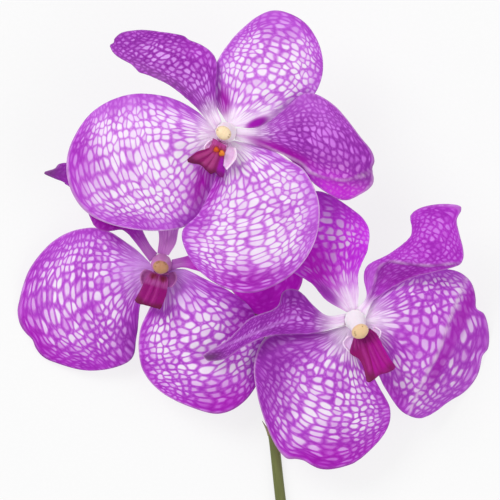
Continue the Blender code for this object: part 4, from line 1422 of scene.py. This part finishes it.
        # Painted highlight along each crease's crest, broken up along its length.
        for fold in self.blade.folds:
            broken = 0.6 + 0.4 * np.sin(plan @ np.array((0.8, 1.1)))
            crest = np.exp(-(fold.beyond(plan) / self.crest_highlight_band) ** 2)
            mark = np.maximum(mark, fold.crest * broken * crest)
        return mark * smooth_step((self.reach(plan) - 4.0) / 6.0)

    def colours(self, plan: np.ndarray, margin: np.ndarray) -> tuple[np.ndarray, np.ndarray]:
        """Paint the cells and the net, with washes of colour, painted shade and painted glow, and the crease
        highlight.

        Args:
            plan: The sheet's plan points.
            margin: Their distance to the free edge.

        Returns:
            The colour of the cells with their openness, and the colour of the net.
        """
        paint = self.blade.paint
        edge = np.exp(-(margin / self.edge_band) ** 2)
        claw = smooth_step(1.0 - (self.reach(plan) - 2.4) / paint.claw_length)
        cell = tinted(tinted(linear(paint.cell), paint.edge_cell, edge), paint.claw, claw ** 0.7)
        line = tinted(tinted(linear(paint.line), paint.edge_line, edge), paint.claw, 0.92 * claw ** 1.9)
        openness = paint.openness * (1.0 - 0.6 * edge)
        for wash in paint.washes:
            share = wash.share(plan)
            cell = tinted(tinted(cell, wash.cells, share * 0.8), wash.shade, share * wash.plain)
            line = tinted(line, wash.shade, share)
            openness = openness * (1.0 - 0.5 * share)
        mark = self.rim_line_and_crest_highlight(plan, margin)
        # The margin's pale line and the painted crease highlight.
        cell, line = tinted(cell, Shade.RIM, mark), tinted(line, Shade.RIM, mark)
        return np.dstack((cell, openness)), np.dstack((line, np.ones_like(openness)))

    def write_map(self, obj: Object, places: np.ndarray) -> None:
        """Write the net's map over the grid's own map.

        Args:
            obj: The sheet.
            places: Each point's place in the net.
        """
        layer = obj.data.uv_layers[0]
        layer.name = "veins"
        corner = np.empty(len(obj.data.loops), dtype=np.int32)
        obj.data.loops.foreach_get("vertex_index", corner)
        layer.data.foreach_set("uv", places.reshape(-1, 2)[corner].astype(np.float32).ravel())

    def build(self, name: str) -> Object:
        """Make the sheet, give it its thickness, and write its map and colours.

        Args:
            name: The piece's name.

        Returns:
            The piece, its upper side on the first material and its lower side on the second.
        """
        draw = np.random.default_rng(self.seed)
        plan = self.plan()
        margin = self.margin(plan)
        height = self.height(plan) + self.relief(plan, margin, draw)
        obj = grid_piece(name, np.dstack((plan, height))[:, ::-1] + self.centre)
        for attribute, colour in zip(("cell", "line"), self.colours(plan, margin)):
            spot_colour(obj, attribute, colour[:, ::-1])
        self.write_map(obj, self.vein_map(plan, margin, draw)[:, ::-1])
        finish_modifier(obj, "SOLIDIFY", thickness=self.thickness * MM, offset=0.0, material_offset=1,
                        use_quality_normals=True)
        rest = read_places(obj)
        rest[:, 2] = np.maximum(rest[:, 2], 0.0)
        write_places(obj, rest)
        obj.data.shade_smooth()
        return obj


# The lip, the column and its cap


@dataclass
class Tube:
    """A round body along a route, whose radius changes from point to point."""

    route: np.ndarray
    radii: np.ndarray
    sides: int = 32
    ribs: float = 0.0
    rib_count: int = 6
    twist: float = 0.0
    across: tuple[float, float, float] = (0.31, -0.92, 0.24)
    streaks: float = 22.0
    streaks_per_mm: float = 0.12

    def frames(self) -> tuple[np.ndarray, np.ndarray]:
        """Find two directions across the route at each of its points.

        Returns:
            The first directions and the second ones, at right angles to them.
        """
        ahead = unit(np.gradient(self.route, axis=0))
        first = unit(np.cross(ahead, self.across))
        return first, np.cross(ahead, first)

    def build(self, name: str) -> Object:
        """Roll a grid round the route, close its seam and cap its ends.

        Args:
            name: The piece's name.

        Returns:
            The closed tube.
        """
        first, second = self.frames()
        angle = np.linspace(0.0, 2.0 * math.pi, self.sides + 1)
        turn = self.twist * np.linspace(0.0, 1.0, len(self.route))
        ribs = 1.0 + self.ribs * np.cos(self.rib_count * angle[None, :] + turn[:, None])
        reach = (self.radii[:, None] * ribs)[..., None]
        ring = np.cos(angle)[None, :, None] * first[:, None] + np.sin(angle)[None, :, None] * second[:, None]
        obj = grid_piece(name, self.route[:, None] + reach * ring)
        self.write_map(obj)
        weld(1e-6, capped=True)
        return obj

    def write_map(self, obj: Object) -> None:
        """Stretch the grid's own map, so that streaks run along the tube.

        Args:
            obj: The tube, still a rolled grid.
        """
        layer = obj.data.uv_layers[0]
        layer.name = "along"
        values = np.empty(len(layer.data) * 2, dtype=np.float32)
        layer.data.foreach_get("uv", values)
        length = np.linalg.norm(np.diff(self.route, axis=0), axis=1).sum()
        values = values.reshape(-1, 2) * (self.streaks, length * self.streaks_per_mm)
        layer.data.foreach_set("uv", values.astype(np.float32).ravel())


@dataclass
class LipBody:
    """The lip: keeled midlobe, foot, two curled ears and the calli, as one fleshy piece."""

    lip: Lip
    centre: np.ndarray
    thickness: float = 1.3
    ear_thickness: float = 0.42
    keel_height: float = 0.5
    keel_width: float = 0.055
    ridge_height: float = 0.2
    ridge_count: float = 9.0
    ear_grid: tuple[int, int] = (26, 40)
    ear_sag: float = 0.8
    ear_frill: float = 0.1
    foot_height: float = 1.75
    foot_radius: float = 0.7
    callus_rise: float = 0.75

    def midlobe(self) -> Object:
        """Make the fish-tailed midlobe with its keels, and paint its grooves and tips.

        Returns:
            The midlobe.
        """
        lip = self.lip
        sheet = Sheet(lip.midlobe, self.centre, rows=80, columns=80)
        plan = sheet.plan()
        u, v = unit_lines(sheet.rows, sheet.columns)
        keel = sum(np.exp(-((u - start - (end - start) * v) / self.keel_width) ** 2)
                   for start, end in lip.keels)
        ridges = 0.5 + 0.5 * np.cos(2.0 * math.pi * self.ridge_count * u)
        throat = smooth_step((lip.throat_length + 0.12 - v) / 0.16)
        fade = smooth_step((1.02 - v) / 0.2)
        crest = self.keel_height * keel * fade * smooth_step(v / 0.12) + self.ridge_height * ridges * throat
        droop = 0.5 * np.abs(2.0 * u - 1.0) ** 3 + 0.5 * v ** 3
        ends = smooth_step((v + 0.1 * np.abs(2.0 * u - 1.0) - 0.84) / 0.2)
        coats = [(lip.keel, 0.75 * keel * fade), (lip.throat, 0.85 * throat),
                 (lip.keel, 0.5 * ridges ** 2 * throat), (lip.tip, 0.9 * ends)]
        for fold in lip.midlobe.folds:
            share = smooth_step(fold.beyond(plan) / 0.6 + 0.5) * smooth_step((v - 0.1) / 0.2)
            share = share * (1.0 - 0.6 * keel) * (1.0 - 0.6 * ends) * (1.0 - 0.7 * throat)
            coats.append((lip.flank, share))
        for x, y, radius, shade in lip.spots:
            away = np.linalg.norm(plan - np.array((x, y)), axis=-1)
            coats.append((shade, 0.9 * np.exp(-(away / radius) ** 4)))
        colour = linear(lip.groove)
        for shade, share in coats:
            colour = tinted(colour, shade, share)
        height = sheet.height(plan) + crest - droop
        obj = grid_piece("midlobe", np.dstack((plan, height))[:, ::-1] + self.centre)
        paint_tint(obj, colour[:, ::-1].reshape(-1, 3))
        finish_modifier(obj, "SOLIDIFY", thickness=self.thickness * MM, offset=0.0)
        return obj

    def ear(self, ear: Ear) -> Object:
        """Make one side lobe: a thin sheet that curls up from the foot to a bright edge.

        Args:
            ear: The side lobe.

        Returns:
            The sheet, with its thickness.
        """
        rows, columns = self.ear_grid
        up = np.array((0.0, 0.0, 1.0))
        base, edge = (smooth_path(points, columns)[None] for points in (ear.base, ear.edge))
        share = np.linspace(0.0, 1.0, rows)[:, None, None]
        run = np.linspace(0.0, math.pi, columns)[None, :, None]
        out = np.cross(unit(np.array(ear.edge[-1]) - np.array(ear.edge[0])), up)
        curl = ear.bulge * np.sin(math.pi * share) * np.sin(run) ** 0.5 * out
        sag = self.ear_sag * (1.0 - (2.0 * share - 1.0) ** 2) * -up
        places = base + (edge - base) * share + curl + sag * np.sin(run)
        places = places + self.ear_frill * np.sin(7.0 * run) * share ** 2 * up
        obj = grid_piece("ear", places + self.centre)
        colour = tinted(linear(ear.tint), ear.edge_tint, smooth_step((share[..., 0] - 0.55) / 0.4))
        paint_tint(obj, np.broadcast_to(colour, places.shape).reshape(-1, 3))
        finish_modifier(obj, "SOLIDIFY", thickness=self.ear_thickness * MM, offset=0.0)
        return obj

    def foot(self) -> Object:
        """Make the arched foot that joins the three lobes.

        Returns:
            The foot.
        """
        middle = direction(self.lip.midlobe.azimuth) * (self.lip.midlobe.claw_reach + 0.5)
        first, last = self.lip.ears
        line = smooth_path((first.base[0][:2], middle, last.base[0][:2]), 25)
        route = np.column_stack((line, np.full(25, self.foot_height))) + self.centre
        obj = Tube(route, np.full(25, self.foot_radius), sides=16).build("foot")
        colour = tinted(linear(first.tint), self.lip.throat, np.array(0.5))
        paint_tint(obj, np.tile(colour, (len(obj.data.vertices), 1)))
        return obj

    def callus(self, x: float, y: float, shade: str) -> Object:
        """Make one of the knobs in the throat from a ball pressed into the midlobe.

        Args:
            x: Its plan place.
            y: The same, towards the spray's tip.
            shade: Its colour.

        Returns:
            The knob.
        """
        obj = ball_piece("callus", 28, 18)
        shape = read_places(obj) * MM
        shape *= (1.0 + 0.12 * np.sin(3.0 * shape[:, :1] + 2.0 * shape[:, 1:2]))
        middle = self.lip.midlobe
        reach = np.linalg.norm(np.array((x, y)) - direction(middle.azimuth) * middle.claw_reach)
        top = middle.level + middle.lift * reach + self.callus_rise
        write_places(obj, shape * (1.0, 1.0, 1.1) + (x, y, top) + self.centre)
        paint_tint(obj, tinted(linear(shade) * 0.7, shade, np.clip(shape[:, 2], 0.0, 1.0)))
        return obj

    def build(self, name: str) -> Object:
        """Make the parts and join them.

        Args:
            name: The piece's name.

        Returns:
            The whole lip.
        """
        parts = [self.midlobe(), self.foot()]
        parts += [self.callus(*callus) for callus in self.lip.calli]
        return join(parts + [self.ear(ear) for ear in self.lip.ears], name)


@dataclass
class Column:
    """The column: a stout waxy post with a collar round its cap and a hollow to the lip.

    profile runs up the post, each place as shares of the base radius and of the height.
    """

    centre: np.ndarray
    lean: tuple[float, float]
    azimuth: float
    tint: str
    lip_side_tint: str = "#C070B0"
    base_radius: float = 3.45
    floor: float = 0.3
    height: float = 5.35
    steps: int = 72
    hollow_depth: float = 0.9
    hollow_place: float = 0.66
    hollow_length: float = 0.16
    flute_depth: float = 0.012
    flute_count: float = 10.0
    profile: tuple[tuple[float, float], ...] = (
        (0.0, 0.0), (0.92, 0.0), (1.0, 0.015), (0.97, 0.07), (0.92, 0.15), (0.85, 0.3), (0.79, 0.5),
        (0.73, 0.7), (0.7, 0.86), (0.7, 0.95), (0.71, 1.0), (0.66, 1.03), (0.6, 1.02), (0.57, 0.98),
        (0.45, 0.95), (0.0, 0.95),
    )

    def build(self, name: str) -> Object:
        """Make the post from a rolled grid whose profile swells and closes.

        Args:
            name: The piece's name.

        Returns:
            The post, painted.
        """
        knots = smooth_path(np.array(self.profile) * (self.base_radius, self.height), self.steps)
        angle = np.linspace(0.0, 2.0 * math.pi, self.steps + 1)
        reach = np.clip(knots[:, :1], 0.002, None)
        share = knots[:, 1:] / self.height
        facing = np.clip(np.cos(angle - math.radians(self.azimuth))[None, :], 0.0, 1.0)
        hollow = facing ** 6 * np.exp(-((share - self.hollow_place) / self.hollow_length) ** 2)
        flutes = self.flute_depth * np.cos(self.flute_count * angle)[None, :] * (1.0 - share)
        reach = reach * (1.0 + flutes) - self.hollow_depth * hollow * (reach > 0.5)
        lean = np.array(self.lean)[None, None, :] * share[..., None]
        plan = reach[..., None] * np.dstack((np.cos(angle), np.sin(angle))) + lean
        rise = np.broadcast_to(knots[:, 1:] + self.floor, plan.shape[:2])
        obj = grid_piece(name, np.dstack((plan, rise)) + self.centre)
        weld(1e-5)
        obj.data.shade_smooth()
        places = read_places(obj) - self.centre
        warm = smooth_step((places[:, :2] @ direction(self.azimuth) - 1.2) / 2.4)
        warm = warm * smooth_step((4.2 - places[:, 2]) / 3.0)
        paint_tint(obj, tinted(linear(self.tint), self.lip_side_tint, 0.5 * warm))
        return obj


@dataclass
class Cap:
    """The anther cap: a waxy oval dome with a furrow, a small beak and brown marks at its rim."""

    seat: np.ndarray
    azimuth: float
    tint: str
    rim_tint: str
    marks: tuple[tuple[float, float, float], ...]
    radius: float
    mark_tint: str = "#6E4A2C"
    height: float = 2.1
    oval: float = 0.9
    cut: float = 0.35
    furrow_depth: float = 0.07
    beak_length: float = 0.05

    def build(self, name: str) -> Object:
        """Shape a ball to the dome, cut it flat below and paint it.

        Args:
            name: The piece's name.

        Returns:
            The dome.
        """
        obj = ball_piece(name, 96, 64)
        bpy.ops.object.mode_set(mode="EDIT")
        bpy.ops.mesh.select_all(action="SELECT")
        bpy.ops.mesh.bisect(plane_co=(0.0, 0.0, -self.cut), plane_no=(0.0, 0.0, 1.0), use_fill=True,
                            clear_inner=True)
        bpy.ops.object.mode_set(mode="OBJECT")
        ball = read_places(obj) * MM
        furrow = np.exp(-(ball[:, 1] / 0.12) ** 2) * np.clip(ball[:, 2], 0.0, 1.0)
        beak = np.clip(ball[:, 0], 0.0, 1.0) ** 8 * np.exp(-(ball[:, 1] / 0.35) ** 2)
        shape = ball * (1.0 - self.furrow_depth * furrow[:, None])
        shape[:, 0] += self.beak_length * beak
        half = self.height / (1.0 + self.cut)
        shape = shape * (self.radius * self.oval, self.radius / self.oval, half)
        shape[:, 2] += self.cut * half
        out = direction(self.azimuth)
        spun = np.column_stack((shape[:, :2] @ np.array((out, -right_of(out))), shape[:, 2]))
        write_places(obj, spun + self.seat)
        obj.data.shade_smooth()
        self.paint(obj, spun)
        return obj

    def paint(self, obj: Object, places: np.ndarray) -> None:
        """Tint the dome, with its own shade at the rim and the brown marks.

        Args:
            obj: The dome.
            places: Its points, from the middle of its seat.
        """
        colour = tinted(linear(self.tint), self.rim_tint, 0.8 * smooth_step((1.5 - places[:, 2]) / 1.0))
        for x, y, radius in self.marks:
            away = np.linalg.norm(places[:, :2] - np.array((x, y)), axis=1)
            colour = tinted(colour, self.mark_tint, 0.55 * np.exp(-(away / radius) ** 4))
        paint_tint(obj, colour)


# Stem and stalks


@dataclass
class Stalk:
    """A flower stalk: six twisted ribs, green below and flushed where it meets the bloom."""

    bloom: Bloom
    centre: np.ndarray
    shift: np.ndarray
    tint: str = "#8F9A55"
    flush: str = "#D3AFCB"
    radius: float = 1.25
    hub_radius: float = 3.0
    hub_depth: float = 2.4
    hub_rings: tuple[float, float, float] = (1.0, 0.97, 0.86)
    flare_start: float = 0.72
    skin_share: float = 0.97

    def build(self, name: str) -> Object:
        """Make the stalk along its curve up to the disc under the bloom.

        Args:
            name: The piece's name.

        Returns:
            The stalk, painted.
        """
        hub_foot = self.centre - (0.0, 0.0, self.hub_depth)
        start, first, second = [np.array(point) + self.shift for point in self.bloom.stalk]
        share = np.linspace(0.0, 1.0, 110)[:, None]
        left = 1.0 - share
        route = (left ** 3 * start + 3.0 * left ** 2 * share * first
                 + 3.0 * left * share ** 2 * second + share ** 3 * hub_foot)
        route = np.vstack((route, hub_foot + (0.0, 0.0, 0.9), self.centre - (0.0, 0.0, 0.5), self.centre))
        flare = np.clip((share[:, 0] - self.flare_start) / (1.0 - self.flare_start), 0.0, 1.0) ** 2
        flare = self.radius + (self.hub_radius - self.radius) * flare
        radii = np.concatenate((flare, np.array(self.hub_rings) * self.hub_radius)) * self.skin_share
        obj = Tube(route, radii, sides=48, ribs=0.05, twist=7.0).build(name)
        obj.data.shade_smooth()
        rise = smooth_step((read_places(obj)[:, 2] - self.shift[2]) / self.centre[2])
        paint_tint(obj, tinted(linear(self.tint), self.flush, rise))
        return obj


@dataclass
class Stem:
    """The flower stem with its bracts: olive green, flat where it lies, cut at a slant.

    A bract is given by its share of the stem's length, its side and its length.
    """

    shift: np.ndarray
    line: tuple[tuple[float, float], ...] = (
        (15.6, -129.0), (13.2, -108.0), (10.2, -83.3), (8.0, -63.7), (5.4, -46.7),
        (3.4, -26.7), (0.9, -6.7), (-1.4, 12.0), (-3.2, 28.0),
    )
    bracts: tuple[tuple[float, float, float], ...] = (
        (0.425, -1.0, 5.2), (0.655, 1.0, 4.4), (0.665, -1.0, 4.4), (0.905, -1.0, 4.0),
    )
    radius: float = 2.0
    tip_radius: float = 1.35
    flat_depth: float = 0.18
    cut_slant: float = 32.0
    slant_length: float = 6.0
    joint_length: float = 0.006
    joint_height: float = 0.03
    bract_thickness: float = 0.22
    bract_clasp: float = 1.15
    bract_spread: float = 1.15
    tint: str = "#626834"
    low_tint: str = "#565A2C"
    cut_tint: str = "#C9C99A"
    bract_tint: str = "#8A7A58"

    def girth(self, share: np.ndarray) -> np.ndarray:
        """Return the stem's radius at shares of its length."""
        tip = np.clip((share - 0.965) / 0.035, 0.0, 1.0)
        return (self.radius + (self.tip_radius - self.radius) * share) * (1.0 - 0.45 * tip ** 2)

    def body(self) -> Object:
        """Make the stem, press its underside flat and slant its cut end.

        Returns:
            The stem without its bracts.
        """
        share = np.linspace(0.0, 1.0, 330)[2:]
        plan = smooth_path(self.line, 330)[2:] + self.shift[:2]
        girth = self.girth(share)
        joints = sum(np.exp(-((share - place) / self.joint_length) ** 2) for place, _, _ in self.bracts)
        route = np.column_stack((plan, girth - self.flat_depth))
        radii = girth * (0.985 + self.joint_height * joints)
        obj = Tube(route, radii, sides=48, ribs=0.012, rib_count=9).build("stem_body")
        places = read_places(obj)
        ahead = unit(plan[1] - plan[0])
        near = np.clip(1.0 - (places[:, :2] - plan[0]) @ ahead / self.slant_length, 0.0, 1.0)
        slant = math.tan(math.radians(self.cut_slant))
        places[:, :2] += (near * (2.0 * self.radius - places[:, 2]) * slant)[:, None] * ahead
        places[:, 2] = np.maximum(places[:, 2], 0.0)
        write_places(obj, places)
        return obj

    def bract(self, share: float, hand: float, length: float) -> Object:
        """Make one bract: a thin papery scale that clasps the stem and points along it.

        Args:
            share: Its place along the stem.
            hand: 1 for the right side and -1 for the left.
            length: Its length.

        Returns:
            The scale, with its thickness.
        """
        plan = smooth_path(self.line, 300) + self.shift[:2]
        index = int(share * 299)
        ahead = unit(plan[index + 1] - plan[index])
        side = right_of(ahead) * hand
        girth = float(self.girth(np.array(share)))
        v = np.linspace(0.0, 1.0, 22)[:, None]
        u = np.linspace(-1.0, 1.0, 15)[None, :]
        wrap = self.bract_clasp * (1.0 - v ** 1.6) * u
        out = girth + 0.08 + self.bract_spread * v ** 1.5
        rise = girth - self.flat_depth + out * np.sin(wrap) * 0.9
        places = plan[index] + (length * v)[..., None] * ahead + (out * np.cos(wrap))[..., None] * side
        obj = grid_piece("bract", np.dstack((places, np.maximum(rise, 0.15))))
        finish_modifier(obj, "SOLIDIFY", thickness=self.bract_thickness * MM, offset=0.0)
        return obj

    def build(self, name: str) -> Object:
        """Join the stem and its bracts and paint them.

        Args:
            name: The piece's name.

        Returns:
            The whole stem.
        """
        body = self.body()
        count = len(body.data.vertices)
        obj = join([body] + [self.bract(*bract) for bract in self.bracts], name)
        places = read_places(obj)
        papery = (np.arange(len(places)) >= count).astype(float)
        low = smooth_step((1.6 - places[:, 2]) / 1.6)
        cut = smooth_step((places[:, 1].min() + 2.4 - places[:, 1]) / 1.2) * (1.0 - papery)
        colour = tinted(linear(self.tint), self.low_tint, 0.6 * low)
        colour = tinted(colour, self.cut_tint, 0.8 * cut)
        paint_tint(obj, tinted(colour, self.bract_tint, 0.75 * papery))
        return obj


# The whole spray


@dataclass
class Spray:
    """The cut spray: its three blooms, their stalks and the stem."""

    blooms: tuple[Bloom, ...] = (TOP_BLOOM, LEFT_BLOOM, RIGHT_BLOOM)
    top_centre: tuple[float, float, float] = (-8.0, 39.0, 43.0)

    def __post_init__(self) -> None:
        """Build the materials that the pieces share, by slot."""
        # Grown waxy petal tissue: a violet net round soft pale cells under a weak sheen, duller behind
        petal = (NettedTissue("waxy_netted_petal_face"),
                 NettedTissue("waxy_petal_back", underside=True, roughness=0.55))
        # Grown fleshy lip tissue: deep wine red that stays dark, with a low satin shine
        lip = (FleshyTissue("fleshy_lip_tissue", roughness=0.42, shine=0.18),)
        # Grown waxy tissue of the column: almost white, even and softly shining
        column = (FleshyTissue("waxy_column_tissue", roughness=0.42, mottle=0.05),)
        # Grown waxy cap: warm cream with a small highlight that rounds the dome
        cap = (FleshyTissue("waxy_anther_cap", roughness=0.4, mottle=0.08),)
        # Grown stem skin: olive green with fine streaks along it
        stem = (StemTissue(),)
        finishes = {"sepal_and_petal": petal, "lip": lip, "column": column, "anther_cap": cap,
                    "green_stem": stem}
        self.materials: dict[str, list[Material]] = {
            slot: [finish.material() for finish in group] for slot, group in finishes.items()}

    def put(self, obj: Object, node: str, slot: str) -> None:
        """Dress a piece in its slot's materials and let it stand for its solid.

        Args:
            obj: The piece, with its place in its mesh.
            node: The solid that it replaces.
            slot: The record's material slot.
        """
        obj.data.materials.clear()
        for material in self.materials[slot]:
            obj.data.materials.append(material)
        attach(obj, "root")
        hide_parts(node)
        LOG.info("%s: %d faces", obj.name, len(obj.data.polygons))

    def hub(self, bloom: Bloom) -> np.ndarray:
        """Return a bloom's centre: the middle of its stalk's highest face."""
        places = read_places(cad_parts[f"{bloom.name}_stalk"])
        return places[places[:, 2] > places[:, 2].max() - 0.01].mean(axis=0)

    def build_bloom(self, bloom: Bloom, shift: np.ndarray) -> None:
        """Build one bloom's pieces and put them in place of its solids.

        Args:
            bloom: The bloom.
            shift: How far plan points of the spray are moved in the frame.
        """
        centre = self.hub(bloom)
        for number, blade in enumerate(bloom.blades):
            node = f"{bloom.name}_{blade.name}"
            sheet = Sheet(blade, centre, seed=(SEED, len(bloom.name), number))
            self.put(sheet.build(f"{node}_blade"), node, "sepal_and_petal")
        azimuth = bloom.lip.midlobe.azimuth
        seat = centre + (*bloom.column_lean, 0.0)
        seat[2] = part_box(f"{bloom.name}_anther_cap")[0].z / MM
        column = Column(centre, bloom.column_lean, azimuth, bloom.column_tint)
        cap = Cap(seat, azimuth, bloom.cap_tint, bloom.cap_rim, bloom.cap_marks, bloom.cap_size)
        makers = (
            ("lip", "body", LipBody(bloom.lip, centre), "lip"),
            ("column", "post", column, "column"),
            ("anther_cap", "dome", cap, "anther_cap"),
            ("stalk", "ribbed", Stalk(bloom, centre, shift), "green_stem"),
        )
        for part, ending, maker, slot in makers:
            node = f"{bloom.name}_{part}"
            self.put(maker.build(f"{node}_{ending}"), node, slot)

    def build(self) -> None:
        """Build every piece of the spray."""
        shift = self.hub(TOP_BLOOM) - self.top_centre
        self.put(Stem(shift).build("flower_stem_skin"), "flower_stem", "green_stem")
        for bloom in self.blooms:
            self.build_bloom(bloom, shift)


# Floor, light and camera


@dataclass(frozen=True)
class Studio:
    """A pale table in soft light, seen from straight above.

    A lamp is given by its name, its place and its side in metres, and its power in watts.
    """

    view_place: tuple[float, float] = (-1.24, 24.05)
    camera_height: float = 3.0
    match_height: float = 0.03
    view_width: float = 500.0 / 3.0 * MM
    sensor: float = 36.0
    surround: float = 0.62
    lamps: tuple[tuple[str, tuple[float, float, float], float, float], ...] = (
        ("key_lamp", (-1.3, 1.2, 1.9), 1.2, 36.0), ("fill_lamp", (1.5, -0.4, 1.7), 1.6, 14.0),
    )

    def floor(self) -> None:
        """Add the pale table top."""
        deselect()
        bpy.ops.mesh.primitive_plane_add(size=6.0, location=(0.0, 0.0, -0.0002))
        floor = named(bpy.context.active_object, "table_top")
        floor.data.materials.append(TablePaint().material())

    def lamp(self, name: str, place: tuple[float, float, float], size: float, power: float) -> None:
        """Add one soft square lamp that faces the spray.

        Args:
            name: The lamp's name.
            place: Its place, in metres.
            size: Its side, in metres.
            power: Its power, in watts.
        """
        data = bpy.data.lights.new(name, "AREA")
        data.shape = "SQUARE"
        data.size = size
        data.energy = power
        lamp = bpy.data.objects.new(name, data)
        lamp.location = place
        lamp.rotation_euler = (-Vector(place)).to_track_quat("-Z", "Y").to_euler()
        bpy.context.scene.collection.objects.link(lamp)

    def light(self) -> None:
        """Light the spray with two large lamps and a pale surround."""
        world = bpy.data.worlds.new("pale_surround")
        world.use_nodes = True
        background = world.node_tree.nodes["Background"]
        background.inputs["Color"].default_value = (1.0, 1.0, 1.0, 1.0)
        background.inputs["Strength"].default_value = self.surround
        bpy.context.scene.world = world
        for lamp in self.lamps:
            self.lamp(*lamp)

    def camera(self) -> None:
        """Set the camera straight above, with the photograph's frame at the blooms' height."""
        data = bpy.data.cameras.new("camera")
        data.sensor_width = self.sensor
        data.lens = self.sensor * (self.camera_height - self.match_height) / self.view_width
        data.clip_end = 20.0
        camera = bpy.data.objects.new("camera", data)
        camera.location = (self.view_place[0] * MM, self.view_place[1] * MM, self.camera_height)
        bpy.context.scene.collection.objects.link(camera)
        bpy.context.scene.camera = camera

    def build(self) -> None:
        """Set up the floor, the light, the camera and plain colours."""
        self.floor()
        self.light()
        self.camera()
        bpy.context.scene.view_settings.view_transform = "Standard"


def main() -> None:
    """Build the studio and the spray."""
    logging.basicConfig(level=logging.INFO, format="%(message)s")
    Studio().build()
    Spray().build()


if __name__ == "__main__":
    main()
